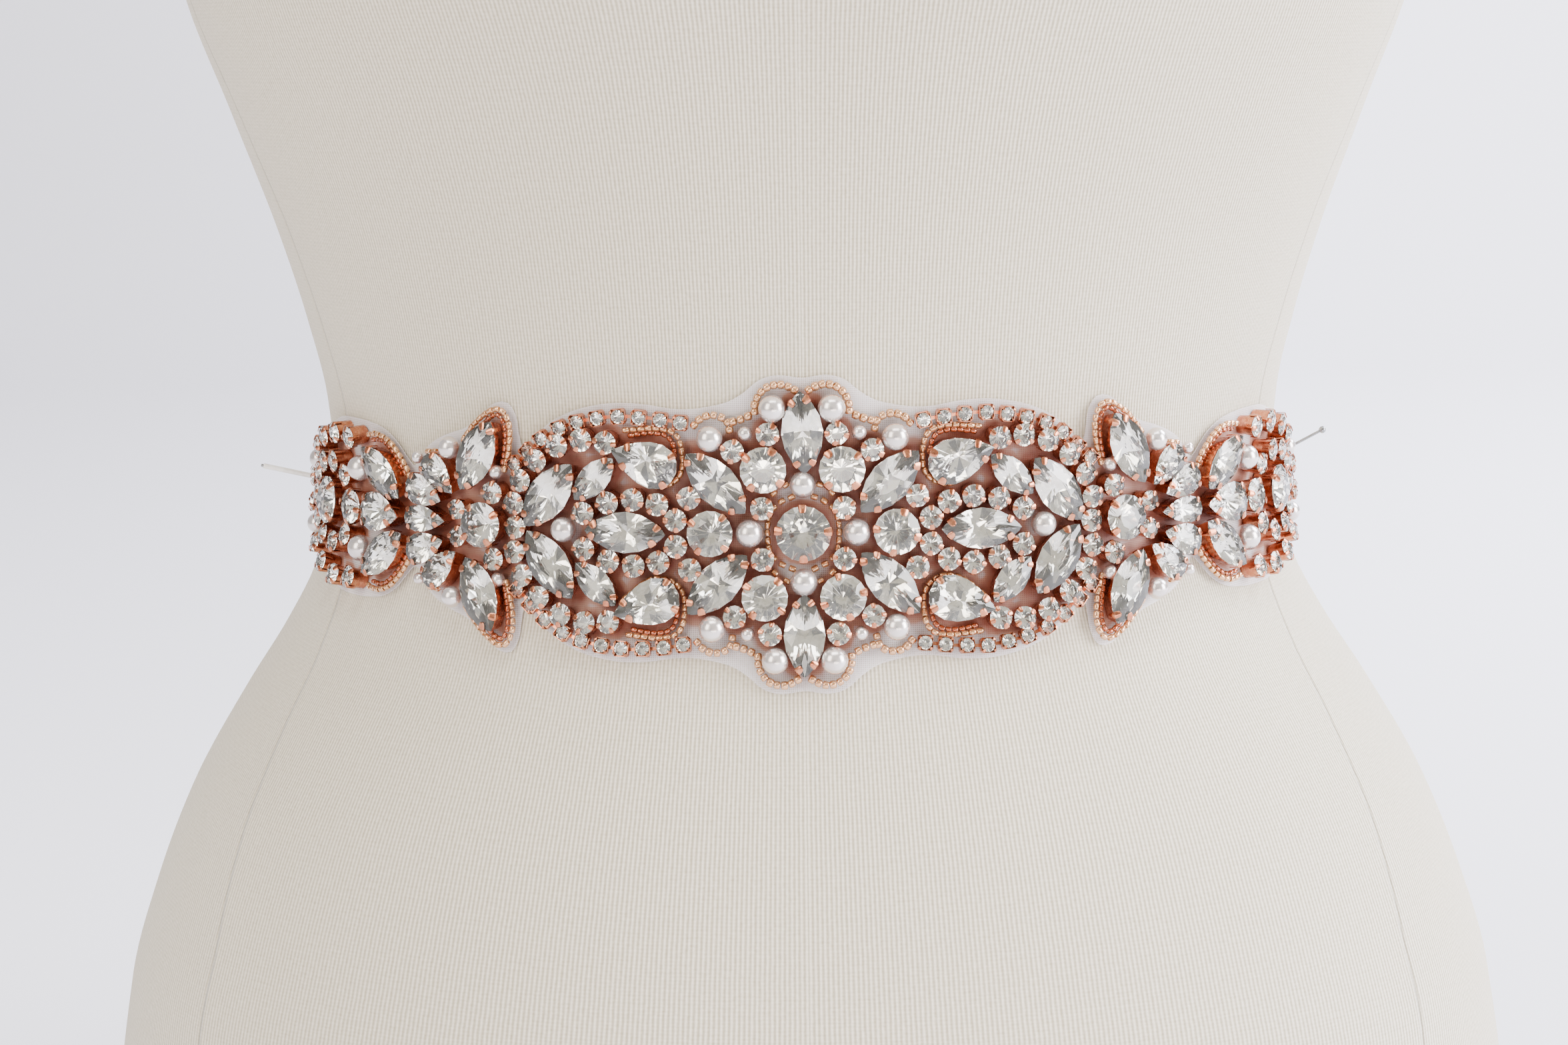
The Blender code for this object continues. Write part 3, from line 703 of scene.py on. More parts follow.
def pointCarrier(name, places):
    # places hold a matrix in mm and a size in mm for each copy
    mesh = bpy.data.meshes.new(name)
    mesh.from_pydata([tuple(toWorld @ place.translation) for place, size in places], [], [])
    turns = mesh.attributes.new("turn", "FLOAT_VECTOR", "POINT")
    sizes = mesh.attributes.new("size", "FLOAT_VECTOR", "POINT")
    for i, (place, size) in enumerate(places):
        turns.data[i].vector = place.to_euler()
        sizes.data[i].vector = [s * mm for s in size]
    return addObject(name, mesh)


shapes = {}


def keepShape(name, mesh, secondFaces=()):
    # a unit shape that the trees repeat; marked faces take the second finish
    marks = mesh.attributes.new("second", "BOOLEAN", "FACE")
    for i in secondFaces:
        marks.data[i].value = True
    shapes[name] = addObject(name, mesh)
    shapes[name].hide_render = True


def placedMesh(name, shapeName, places, finish, second=None):
    inputs = {
        "Shape": shapes[shapeName], "Finish": finishes[finish], "Second finish": finishes[second or finish],
    }
    return growMesh(name, pointCarrier(name + "Points", places), trees["place"], inputs)


def joinMeshes(name, meshes, materials):
    # one mesh from several, with each face's finish kept by name
    joined = bmesh.new()
    for mesh in meshes:
        names = [m.name if m else "" for m in mesh.materials]
        first = len(joined.faces)
        joined.from_mesh(mesh)
        joined.faces.ensure_lookup_table()
        for i in range(first, len(joined.faces)):
            face = joined.faces[i]
            face.material_index = materials.index(bpy.data.materials[names[face.material_index]])
    result = bpy.data.meshes.new(name)
    joined.to_mesh(result)
    joined.free()
    for mesh in meshes:
        bpy.data.meshes.remove(mesh)
    return keepMesh(name, result, materials)


# Jersey-covered form
def makeJersey():
    count = form["columns"]
    rows = int((formTop - formFoot) / form["ringStep"])
    turns = 2 * math.pi * np.arange(count) / count
    angles = np.arctan2(form["columnSpread"] * np.sin(turns), np.cos(turns))
    heights = np.linspace(formFoot, formTop, rows + 1)
    rings = formPoints(heights[:, None], angles[None, :])
    placed, faces = closedRings([[toWorld @ Vector(point) for point in ring] for ring in rings])
    points = rings.reshape(-1, 3)
    corners = ((0, 0), (1, 0), (1, 1), (0, 1))
    uvs = [
        (form["girth"] * (i + right) / count, heights[r + up])
        for r in range(rows) for i in range(count) for right, up in corners
    ]
    uvs += [tuple(points[i][:2]) for face in faces[-2:] for i in face]
    mesh = meshFrom("jerseyCover", placed, faces)
    layer = mesh.uv_layers.new(name="knit")
    layer.data.foreach_set("uv", np.array(uvs, np.float32).ravel())
    seams = np.array(form["seams"], float)
    seamAngles = np.radians(np.interp(heights, seams[:, 0], seams[:, 1]))
    away = np.abs(angles)[None, :] - seamAngles[:, None]
    reach = np.linalg.norm(points[:, :2], axis=1)
    marks = mesh.attributes.new("seam", "FLOAT", "POINT")
    marks.data.foreach_set("value", (away.ravel() * reach).astype(np.float32))
    made = keepMesh("jerseyCover", mesh, [finishes["jersey"]], 60)
    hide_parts("form_torso")
    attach(made, "root")


makeJersey()
print("jersey cover made")

# Stones
stones = {
    # shape, length, width, u, v and the tip's turn in degrees, for the upper right quarter
    "layout": (
        ("round", 12, 12, 0, 0, 0), ("round", 10, 10, 8.2, 14.3, 0), ("round", 10, 10, 19.5, 0, 0),
        ("navette", 18, 9, 0, 22.4, 90), ("navette", 18, 9, 18.1, 11.4, 45),
        ("round", 5, 5, 8.6, 5.7, 0), ("round", 5, 5, 7.2, 22.0, 0), ("round", 5, 5, 14.6, 18.3, 0),
        ("round", 5, 5, 23.9, 8.1, 0),
        ("navette", 18, 9, 37.5, 0, 0), ("pear", 15, 10, 33.2, 15.9, 18),
        ("navette", 13, 6.5, 44.2, 11.9, -43), ("navette", 18, 9, 54.4, 8.0, -54),
        ("round", 5, 5, 26.8, 2.9, 0), ("round", 5, 5, 30.6, 6.5, 0), ("round", 5, 5, 35.9, 7.5, 0),
        ("round", 5, 5, 41.4, 6.6, 0), ("round", 5, 5, 46.8, 4.0, 0),
        ("round", 5, 5, 41.6, 19.9, 0), ("round", 5, 5, 46.9, 20.3, 0), ("round", 5, 5, 52.3, 18.9, 0),
        ("round", 5, 5, 57.2, 15.5, 0), ("round", 5, 5, 61.0, 10.9, 0), ("round", 5, 5, 62.7, 5.5, 0),
        ("round", 5, 5, 62.4, 0, 0),
        ("round", 10, 10, 70.6, 0, 0), ("round", 5, 5, 67.9, 7.7, 0), ("round", 4.5, 4.5, 77.0, 3.1, 0),
        ("navette", 18, 9, 71.4, 15.9, -61), ("pear", 11, 7, 81.7, 10.8, 222),
        ("pear", 11, 7, 86.0, 6.4, 200), ("pear", 12, 6, 86.0, 0, 180),
        ("navette", 16, 8.5, 99.3, 9.7, 41), ("pear", 14, 9, 100.0, 0, 180), ("round", 8, 8, 111.0, 0, 0),
        ("round", 11, 11, 122.3, 0, 0),
        ("round", 5, 5, 114.3, 7.2, 0), ("round", 5, 5, 120.0, 9.9, 0), ("round", 5, 5, 126.3, 9.0, 0),
        ("round", 5, 5, 131.0, 5.3, 0), ("round", 5, 5, 132.7, 0, 0),
        ("round", 5, 5, 111.3, 16.7, 0), ("round", 5, 5, 118.0, 17.1, 0), ("round", 5, 5, 125.0, 15.4, 0),
        ("round", 5, 5, 131.2, 12.0, 0), ("round", 4.5, 4.5, 139.5, 3.2, 0),
    ),
    "topLayer": (4.5, 0.3),  # mm, and mm for each mm of the stone's width
    "corners": 16,  # points of an outline
    "navettePinch": 0.7,
    "pearPinch": 0.9,
    "pearWidest": 0.785,  # makes the pinched pear one wide again
    "starShare": 0.58,  # height of the star facets' outer corners, as a share of the crown
    # shares of a stone's width
    "crownShare": {"round": 0.12, "navette": 0.14, "pear": 0.14},
    "tableShare": {"round": 0.52, "navette": 0.4, "pear": 0.42},
    "girdleShare": 0.03,
    # or less, to keep the culet off the cloth
    "pavilionShare": {"round": 0.45, "navette": 0.42, "pear": 0.42},
    "culetLayer": 0.85,  # mm, the lowest place of a culet
    "keelShare": {"round": 0.0, "navette": 0.2, "pear": 0.2},  # the culet drawn out along the stone
    "footLayer": 0.82,  # mm, the underside of each setting
    "tilt": 2.2,  # degrees that a hand-sewn stone may lean
    "turn": 3.0,
}


def fourWays(u, v, degrees=0.0):
    # the same place in each quarter of the band
    for sideU in (1, -1):
        for sideV in (1, -1):
            if (sideU < 0 and u == 0) or (sideV < 0 and v == 0):
                continue
            turned = degrees if sideU > 0 else 180 - degrees
            yield u * sideU, v * sideV, turned * sideV


def outlinePoint(shape, turn):
    # place on the outline of a stone one wide and one long about its middle, from the tip
    x = math.cos(turn)
    y = math.sin(turn)
    if shape == "navette":
        y *= abs(y) ** stones["navettePinch"]
    if shape == "pear":
        y *= abs(math.sin(0.5 * turn)) ** stones["pearPinch"] / stones["pearWidest"]
    return 0.5 * x, 0.5 * y


def stoneOutline(shape):
    return [outlinePoint(shape, 2 * math.pi * i / stones["corners"]) for i in range(stones["corners"])]


def topLayer(width):
    return stones["topLayer"][0] + stones["topLayer"][1] * width


def girdleLayer(shape, width):
    return topLayer(width) - (stones["crownShare"][shape] + stones["girdleShare"]) * width


def makeStoneShape(name, shape, width):
    # a brilliant cut fitted to the outline: crown, girdle and a foiled pavilion
    outline = stoneOutline(shape)
    crown = stones["crownShare"][shape]
    band = stones["girdleShare"]
    room = girdleLayer(shape, width) - band * width - stones["culetLayer"]
    depth = min(stones["pavilionShare"][shape], room / width)
    table = stones["tableShare"][shape]
    points = [(x, y, 0.0) for x, y in outline]
    points += [(x, y, -band) for x, y in outline]
    points += [(table * x, table * y, crown) for x, y in outline[::2]]
    middle = 0.5 * (1 + table)
    points += [(middle * x, middle * y, stones["starShare"] * crown) for x, y in outline[1::2]]
    keel = stones["keelShare"][shape]
    points += [(0.5 * (1 + keel) * x, 0.5 * y, -band - 0.5 * depth) for x, y in outline[1::2]]
    count = len(outline)
    half = count // 2
    keelFor = [min(k, half - k) if keel else 0 for k in range(half)]
    points += [(keel * outline[2 * k][0], 0.0, -band - depth) for k in range(max(keelFor) + 1)]
    girdle = range(count)
    lower = range(count, 2 * count)
    tables = range(2 * count, 2 * count + half)
    stars = range(2 * count + half, 3 * count)
    belly = range(3 * count, 3 * count + half)
    culets = [3 * count + half + k for k in keelFor]
    faces = [tuple(tables)]
    for k in range(half):
        before = (k - 1) % half
        after = (k + 1) % half
        left, centre, right = [girdle[(2 * k + i) % count] for i in range(3)]
        faces.append((tables[k], stars[k], tables[after]))
        faces.append((tables[k], stars[before], left, stars[k]))
        faces.append((stars[k], left, centre))
        faces.append((stars[k], centre, right))
    for i in range(count):
        j = (i + 1) % count
        faces.append((girdle[i], lower[i], lower[j], girdle[j]))
    foiled = len(faces)
    for k in range(half):
        before = (k - 1) % half
        after = (k + 1) % half
        left, centre, right = [lower[(2 * k + i) % count] for i in range(3)]
        faces.append((culets[k], belly[k], left, belly[before]))
        faces.append((belly[k], centre, left))
        faces.append((belly[k], right, centre))
        if keel:
            faces.append((culets[k], culets[after], belly[k]))
    keepShape(name, meshFrom(name, points, faces), range(foiled, len(faces)))


def leaning(place, most):
    lean = Euler([math.radians(chance.uniform(-most, most)) for k in range(2)] + [0.0])
    return place @ lean.to_matrix().to_4x4()


def everyStone():
    # each stone of the band as shape, length, width and its place at the girdle
    made = []
    for shape, length, width, u, v, degrees in stones["layout"]:
        for atU, atV, turn in fourWays(u, v, degrees):
            if shape == "round":
                turn = chance.uniform(0, 90)
            turn += chance.uniform(-stones["turn"], stones["turn"])
            place = bandFrame(atU, atV, girdleLayer(shape, width))
            place = leaning(place, stones["tilt"]) @ Matrix.Rotation(math.radians(turn), 4, "Z")
            made.append((shape, length, width, place))
    return made


stoneList = everyStone()


def makeStones():
    meshes = []
    for shape, width in sorted({(s, w) for s, l, w, p in stoneList}):
        name = f"{shape}{width}"
        makeStoneShape(name, shape, width)
        places = [(p, (l, w, w)) for s, l, w, p in stoneList if (s, w) == (shape, width)]
        meshes.append(placedMesh(name, name, places, "crystal", "foil"))
    made = joinMeshes("crystalStones", meshes, [finishes["crystal"], finishes["foil"]])
    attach(made, "root")


makeStones()
print("stones made")

# Settings
settings = {
    "rimDrop": 0.035,  # share of the width that the rim stands below the girdle
    # degrees round the stone from its tip
    "prongTurns": {
        "round": (45, 135, 225, 315), "navette": (38, 142, 218, 322), "pear": (50, 140, 220, 310),
    },
    "prongShift": 7,  # degrees that a prong may stand off its place
    "prongLean": 5,
    "prongWidth": 0.74,
    "prongThickness": 0.17,
    "prongSize": (0.42, 0.06),  # mm, and mm for each mm of the stone's width
}


def makeCupShape(shape):
    # stamped cup under a stone: a flared wall with a flat foot, one high
    outline = stoneOutline(shape)
    profile = ((0.84, 0.0), (0.88, 0.25), (0.97, 0.9), (0.985, 1.0), (0.94, 1.0), (0.82, 0.015))
    rings = [[(share * x, share * y, z) for x, y in outline] for share, z in profile]
    keepShape(shape + "Cup", meshFrom(shape + "Cup", *closedRings(rings)))


def makeProngShape():
    # a tab that climbs the wall and is pressed over the crown; x points away from the stone
    path = (
        (0.0, -2.6, 0.75), (0.2, -0.6, 0.85), (0.24, 0.0, 1.0), (0.08, 0.32, 1.1), (-0.3, 0.46, 1.12),
        (-0.85, 0.72, 1.0), (-1.2, 0.86, 0.8), (-1.36, 0.88, 0.4),
    )
    section = ((-1, 0.0), (-0.7, 0.85), (0, 1.2), (0.7, 0.85), (1, 0.0), (0, -0.5))
    half = settings["prongWidth"]
    thick = settings["prongThickness"]
    rings = []
    for i, (x, z, wide) in enumerate(path):
        before = path[max(0, i - 1)]
        after = path[min(len(path) - 1, i + 1)]
        run = Vector((after[0] - before[0], after[1] - before[1])).normalized()
        rings.append([
            (x + run.y * lift * thick, half * wide * across, z - run.x * lift * thick)
            for across, lift in section
        ])
    mesh = meshFrom("prong", *closedRings(rings))
    faceOutwards(mesh)
    mesh.shade_smooth()
    keepShape("prong", mesh)


def makeSettings():
    makeProngShape()
    meshes = []
    prongs = []
    for shape in ("round", "navette", "pear"):
        makeCupShape(shape)
        cups = []
        for s, length, width, place in stoneList:
            if s != shape:
                continue
            tall = girdleLayer(shape, width) - stones["footLayer"]
            foot = place @ Matrix.Translation((0, 0, -tall))
            rim = tall - (stones["girdleShare"] + settings["rimDrop"]) * width
            cups.append((foot, (length, width, rim)))
            size = settings["prongSize"][0] + settings["prongSize"][1] * width
            for degrees in settings["prongTurns"][shape]:
                degrees += chance.uniform(-settings["prongShift"], settings["prongShift"])
                turn = math.radians(degrees)
                x, y = outlinePoint(shape, turn)
                run = Vector(outlinePoint(shape, turn + 0.01)) - Vector(outlinePoint(shape, turn - 0.01))
                out = math.atan2(-run.x * length, run.y * width)
                seat = place @ Matrix.Translation((x * length, y * width, 0)) @ Matrix.Rotation(out, 4, "Z")
                seat = leaning(seat, settings["prongLean"])
                prongs.append((seat, (size, size * chance.uniform(0.85, 1.1), size)))
        meshes.append(placedMesh(shape + "Cups", shape + "Cup", cups, "roseGold"))
    meshes.append(placedMesh("prongs", "prong", prongs, "roseGold"))
    made = joinMeshes("roseGoldSettings", meshes, [finishes["roseGold"]])
    made.data.shade_smooth()
    made.data.set_sharp_from_angle(angle=math.radians(35))
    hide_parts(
        "motif_centre", "motif_lobe_left", "motif_lobe_right", "motif_fan_left", "motif_fan_right",
        "motif_end_left", "motif_end_right",
    )
    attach(made, "root")


makeSettings()
print("settings made")

# Pearls
pearls = {
    # diameter, u, v for the upper right quarter
    "layout": (
        (6, 11.3, 0), (6, 0, 10.9), (6, 6.2, 27.6), (6, 19.5, 20.8), (3.2, 12.0, 21.9), (5.6, 51.7, 0),
        (5, 79.3, 17.0), (3.2, 67.7, 12.2), (2.8, 88.9, 14.0), (6, 108.5, 9.6), (5, 136.2, 8.0),
    ),
    "footLayer": 1.2,
    "largest": 6,
    "lift": 0.25,  # mm that a pearl is sewn higher for each mm it lacks of the largest
    "sizeShares": (0.97, 1.02),  # a pearl comes out between these shares of its size
    "flatness": 0.97,
}


def makePearls():
    ball = bmesh.new()
    bmesh.ops.create_uvsphere(ball, u_segments=28, v_segments=16, radius=0.5)
    mesh = bpy.data.meshes.new("pearl")
    ball.to_mesh(mesh)
    ball.free()
    mesh.shade_smooth()
    keepShape("pearl", mesh)
    places = []
    for diameter, u, v in pearls["layout"]:
        for atU, atV, turn in fourWays(u, v):
            size = diameter * chance.uniform(*pearls["sizeShares"])
            lift = pearls["lift"] * (pearls["largest"] - diameter)
            place = bandFrame(atU, atV, pearls["footLayer"] + 0.5 * size + lift)
            places.append((place, (size, size, size * pearls["flatness"])))
    mesh = placedMesh("pearlBeads", "pearl", places, "pearl")
    made = keepMesh("pearlBeads", mesh, [finishes["pearl"]])
    mesh.shade_smooth()
    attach(made, "root")


makePearls()
print("pearls made")

# Seed beads
seedRows = {
    "step": 0.4,  # mm between the points of a row's line
    # stretch: how much longer than the round bead the row's bead is
    "large": {"diameter": 1.9, "pitch": 1.55, "stretch": 1.05, "layer": 2.2},
    "small": {"diameter": 1.4, "pitch": 1.65, "stretch": 1.55, "layer": 2.5},
    "copper": {"diameter": 1.25, "pitch": 1.45, "stretch": 1.5, "layer": 2.2},
    # rows for the upper right quarter, through their places along the band
    "rows": (
        ("large", (
            (1.5, 31.3), (3.4, 32.3), (5.4, 32.5), (7.4, 31.9), (9.0, 30.4), (9.9, 28.4), (10.0, 26.6),
        )),
        ("large", ((11.4, 25.6), (13.0, 24.9), (14.6, 24.4))),
        ("large", ((15.4, 22.6), (16.0, 24.6), (17.7, 25.6), (19.6, 25.8), (21.5, 25.1), (22.9, 23.6))),
        ("small", ((2.4, 7.9), (4.6, 6.9), (6.3, 5.4))),
        ("small", ((7.3, 3.4), (7.6, 1.2), (7.6, -1.2), (7.3, -3.4))),
        ("small", ((3.6, 10.6), (5.2, 9.7), (6.2, 8.8))),
        ("small", (
            (37.6, 22.4), (32.3, 22.9), (28.8, 22.6), (26.8, 21.4), (25.8, 19.2), (25.5, 16.0),
            (25.9, 13.2), (27.9, 10.9), (31.4, 10.1), (35.0, 11.7), (38.4, 14.6),
        )),
        ("copper", ((36.6, 21.2), (32.6, 21.8), (29.4, 21.4), (27.8, 20.0), (27.2, 17.8))),
        ("small", (
            (66.0, 12.8), (65.0, 16.4), (64.5, 19.8), (64.7, 23.2), (66.0, 25.7), (68.1, 26.1),
            (70.9, 24.6), (73.7, 22.1), (76.2, 19.0),
        )),
        ("copper", (
            (67.0, 12.8), (66.2, 16.4), (65.8, 19.8), (66.0, 22.8), (67.2, 24.7), (69.1, 24.3), (72.1, 21.6),
        )),
        ("small", ((106.4, 17.5), (103.3, 17.9), (99.3, 16.7), (95.9, 13.8), (93.2, 10.2), (92.2, 7.4))),
        ("copper", ((105.0, 16.4), (102.6, 16.6), (99.8, 15.6), (96.9, 13.0), (94.5, 9.8))),
        ("small", ((84.6, 15.6), (86.4, 15.4))),
    ),
}


def makeBeadShape():
    # a short drilled bead, one across, its hole along z; the hole is lined
    profile = ((0.3, -0.32), (0.4, -0.35), (0.48, -0.24), (0.5, 0.0), (0.48, 0.24), (0.4, 0.35), (0.3, 0.32))
    count = 10
    turns = [2 * math.pi * i / count for i in range(count)]
    points = [(radius * math.cos(t), radius * math.sin(t), z) for radius, z in profile for t in turns]
    faces = ringFaces(len(profile), count)
    outer = len(faces)
    last = (len(profile) - 1) * count
    for i in range(count):
        j = (i + 1) % count
        faces.append((last + i, last + j, j, i))
    mesh = meshFrom("seedBead", points, faces)
    mesh.shade_smooth()
    keepShape("seed", mesh, range(outer, len(faces)))


def makeSeedBeads():
    makeBeadShape()
    meshes = []
    for size, glass in (("large", "beadGlass"), ("small", "beadGlass"), ("copper", "copperGlass")):
        facts = seedRows[size]
        curve = bpy.data.curves.new(size + "Rows", "CURVE")
        curve.dimensions = "3D"
        for rowSize, row in seedRows["rows"]:
            if rowSize != size:
                continue
            acrossMiddle = row[0][1] * row[-1][1] < 0  # a row that crosses the centre line
            for sideU in (1, -1):
                for sideV in ((1,) if acrossMiddle else (1, -1)):
                    line = [(u * sideU, v * sideV) for u, v in throughPoints(row, seedRows["step"])]
                    spline = curve.splines.new("POLY")
                    spline.points.add(len(line) - 1)
                    for k, (u, v) in enumerate(line):
                        spot = toWorld @ bandPoint(u, v, facts["layer"])
                        spline.points[k].co = (*spot, 1.0)
        inputs = {
            "Shape": shapes["seed"], "Pitch": facts["pitch"] * mm, "Diameter": facts["diameter"] * mm,
            "Stretch": facts["stretch"], "Seed": 5, "Finish": finishes[glass],
            "Second finish": finishes["beadLining"],
        }
        meshes.append(growMesh(size + "Seeds", addObject(size + "Rows", curve), trees["string"], inputs))
    used = [finishes["beadGlass"], finishes["copperGlass"], finishes["beadLining"]]
    made = joinMeshes("seedBeads", meshes, used)
    made.data.shade_smooth()
    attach(made, "root")


makeSeedBeads()
print("seed beads made")

# Organza
organza = {
    # half the cloth's height at each place along the waist
    "profile": (
        (0.0, 33.6), (5.0, 34.2), (9.0, 33.2), (12.5, 30.4), (16.0, 28.4), (20.0, 27.4),
        (24.0, 26.8), (28.0, 26.9), (34.0, 27.8), (40.0, 28.0), (45.0, 27.4), (50.0, 26.1),
        (55.0, 23.7), (59.0, 20.4), (62.0, 17.0), (63.1, 19.3), (63.8, 24.1), (65.8, 27.2),
        (69.0, 27.1), (72.8, 24.3), (76.8, 21.2), (81.0, 19.8), (85.0, 18.2), (88.5, 16.0),
        (91.0, 12.6), (93.2, 11.4), (96.0, 14.0), (99.0, 16.8), (103.0, 18.9), (108.0, 19.8),
        (114.0, 20.2), (121.0, 20.0), (127.0, 18.7), (133.0, 16.6), (139.0, 14.4),
        (144.0, 12.6), (148.0, 10.4), (151.0, 7.2), (152.6, 3.2),
    ),
    "layer": 0.75,  # mm above the jersey
    "thickness": 0.25,
    "grid": 1.5,
    "gridReach": (160, 36),
    "outlineStep": 1.4,
    "edgeGap": 1.1,  # mm kept between the grid and the edge's points
    "ripple": 0.16,
    "paintedShadeReach": 1.8,  # mm from a stone over which painted shade and painted copper reflection darken the cloth
    "margin": 2.4,  # mm of plain cloth along the edge
    "flat": (0.0684, 0.3052),
}


def outlineOf(profile):
    # the closed cut from half its height, with rounded corners
    upper = [(-u, v) for u, v in reversed(profile) if u > 0] + list(profile)
    corners = upper[::-1] + [(u, -v) for u, v in upper]
    return throughPoints(corners, organza["outlineStep"], closed=True)


def insideOutline(outline, u, v):
    inside = False
    for (u0, v0), (u1, v1) in zip(outline, outline[1:] + outline[:1]):
        if (v0 > v) != (v1 > v) and u < u0 + (v - v0) * (u1 - u0) / (v1 - v0):
            inside = not inside
    return inside


def paintedShadeNearStones(corners, outline):
    # where shade and copper reflection are painted on the cloth: 1 beside a stone and 0 in the open cloth
    # and along the cloth's edge
    spots = np.array([tuple(corner) for corner in corners])
    gap = np.full(len(spots), 99.0)
    for shape, length, width, u, v, degrees in stones["layout"]:
        for atU, atV, turn in fourWays(u, v, degrees):
            away = spots - (atU, atV)
            turn = math.radians(turn)
            x = away[:, 0] * math.cos(turn) + away[:, 1] * math.sin(turn)
            y = away[:, 1] * math.cos(turn) - away[:, 0] * math.sin(turn)
            gap = np.minimum(gap, (np.hypot(2 * x / length, 2 * y / width) - 1) * width / 2)
    edge = np.min(np.linalg.norm(spots[:, None] - np.array(outline)[None], axis=2), axis=1)
    nearStone = np.clip(1 - gap / organza["paintedShadeReach"], 0, 1)
    return nearStone * np.clip((edge - organza["margin"]) / organza["margin"], 0, 1)


def makeOrganza():
    outline = outlineOf(organza["profile"])
    edges = [(i, (i + 1) % len(outline)) for i in range(len(outline))]
    grid = organza["grid"]
    reachU, reachV = organza["gridReach"]
    border = [Vector(p) for p in outline]
    flat = list(border)
    for i in range(int(2 * reachU / grid)):
        for j in range(int(2 * reachV / grid)):
            u = -reachU + i * grid + 0.5 * grid * (j % 2)
            v = -reachV + j * grid
            clear = all((Vector((u, v)) - p).length > organza["edgeGap"] for p in border)
            if clear and insideOutline(outline, u, v):
                flat.append(Vector((u, v)))
    made = delaunay_2d_cdt(flat, edges, [], 0, 1e-5, False)
    corners = made[0]
    top = []
    under = []
    for corner in corners:
        u, v = corner
        ripple = organza["ripple"] * math.sin(0.31 * u + 0.2 * v) * math.sin(0.23 * v + 1.0)
        place = bandFrame(u, v, organza["layer"] + ripple)
        top.append(toWorld @ place.translation)
        under.append(toWorld @ (place.translation - place.col[2].to_3d() * organza["thickness"]))
    count = len(corners)
    faces = []
    for face in made[2]:
        middle = (corners[face[0]] + corners[face[1]] + corners[face[2]]) / 3
        if insideOutline(outline, middle.x, middle.y):
            faces.append(tuple(face))
    used = {(f[k], f[(k + 1) % 3]) for f in faces for k in range(3)}
    rim = [(a, b) for a, b in used if (b, a) not in used]
    walls = faces + [tuple(count + i for i in reversed(f)) for f in faces]
    walls += [(b, a, count + a, count + b) for a, b in rim]
    mesh = meshFrom("organzaGround", top + under, walls)
    layer = mesh.uv_layers.new(name="cut")
    for polygon in mesh.polygons:
        for loop in polygon.loop_indices:
            layer.data[loop].uv = corners[mesh.loops[loop].vertex_index % count]
    # painted shade and painted copper reflection beside the stones, stored per point for the organza's
    # colour
    paintedCopperShade = mesh.attributes.new("paintedCopperShade", "FLOAT", "POINT")
    paintedCopperShade.data.foreach_set("value", np.tile(paintedShadeNearStones(corners, outline), 2).astype(np.float32))
    piece = keepMesh("organzaGround", mesh, [finishes["organza"]], 60)
    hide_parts("sash_backing")
    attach(piece, "root")


makeOrganza()
print("organza made")

# Cup chain
cupChain = {
    "places": (
        (25.7, 24.3), (30.0, 24.9), (34.6, 25.4), (39.2, 25.5), (43.8, 25.0), (48.2, 24.1), (52.5, 22.6),
        (56.5, 20.1), (60.0, 17.1), (63.0, 14.1),
    ),
    "cup": 3.1,
    "stone": 2.95,
    "girdleLayer": 3.6,
    "footLayer": 1.6,
    "turn": 0.1,  # radians that a cup may turn on its row
    "lean": 4,  # degrees that a cup may lean
    "linkLayer": 2.3,
    "linkSize": (1.8, 1.6),  # mm across the row and off the cloth
    "linkOverlap": 1.8,  # mm that a link is shorter than the way between two cups' middles
}


def makeSquareCup():
    # square drawn cup, one across and one high, with a claw at each corner
    profile = ((0.42, 0.0), (0.49, 0.3), (0.49, 0.95), (0.45, 0.95), (0.4, 0.3))
    clawPath = ((0.66, 0.6, 0.12), (0.67, 1.1, 0.12), (0.6, 1.32, 0.1), (0.5, 1.36, 0.05))
    middles = [math.radians(45 + 90 * k) for k in range(4)]
    cut = 0.16  # radians from a corner to where it is cut off
    toCorner = 1.38  # from half a side to a corner
    corners = [(math.cos(m + t), math.sin(m + t)) for m in middles for t in (-cut, cut)]
    rings = [[(toCorner * r * x, toCorner * r * y, z) for x, y in corners] for r, z in profile]
    parts = [closedRings(rings)]
    for middle in middles:
        out = Vector((math.cos(middle), math.sin(middle), 0))
        across = Vector((-out.y, out.x, 0))
        claw = []
        for reach, z, wide in clawPath:
            spot = out * reach + Vector((0, 0, z))
            inner = spot - out * 0.1 - Vector((0, 0, 0.04))
            claw.append([
                spot - across * wide, spot + across * wide,
                inner + across * wide * 0.6, inner - across * wide * 0.6,
            ])
        parts.append(closedRings(claw))
    points = []
    faces = []
    for partPoints, partFaces in parts:
        first = len(points)
        points += partPoints
        faces += [tuple(first + i for i in face) for face in partFaces]
    mesh = meshFrom("squareCup", points, faces)
    faceOutwards(mesh)
    keepShape("squareCup", mesh)


def makeLinkShape():
    # flat bar that joins two cups, one long
    rings = []
    for x, wide in ((-0.5, 0.3), (-0.2, 0.2), (0.2, 0.2), (0.5, 0.3)):
        rings.append([(x, -wide, -0.1), (x, wide, -0.1), (x, wide, 0.1), (x, -wide, 0.1)])
    mesh = meshFrom("chainLink", *closedRings(rings))
    faceOutwards(mesh)
    keepShape("link", mesh)


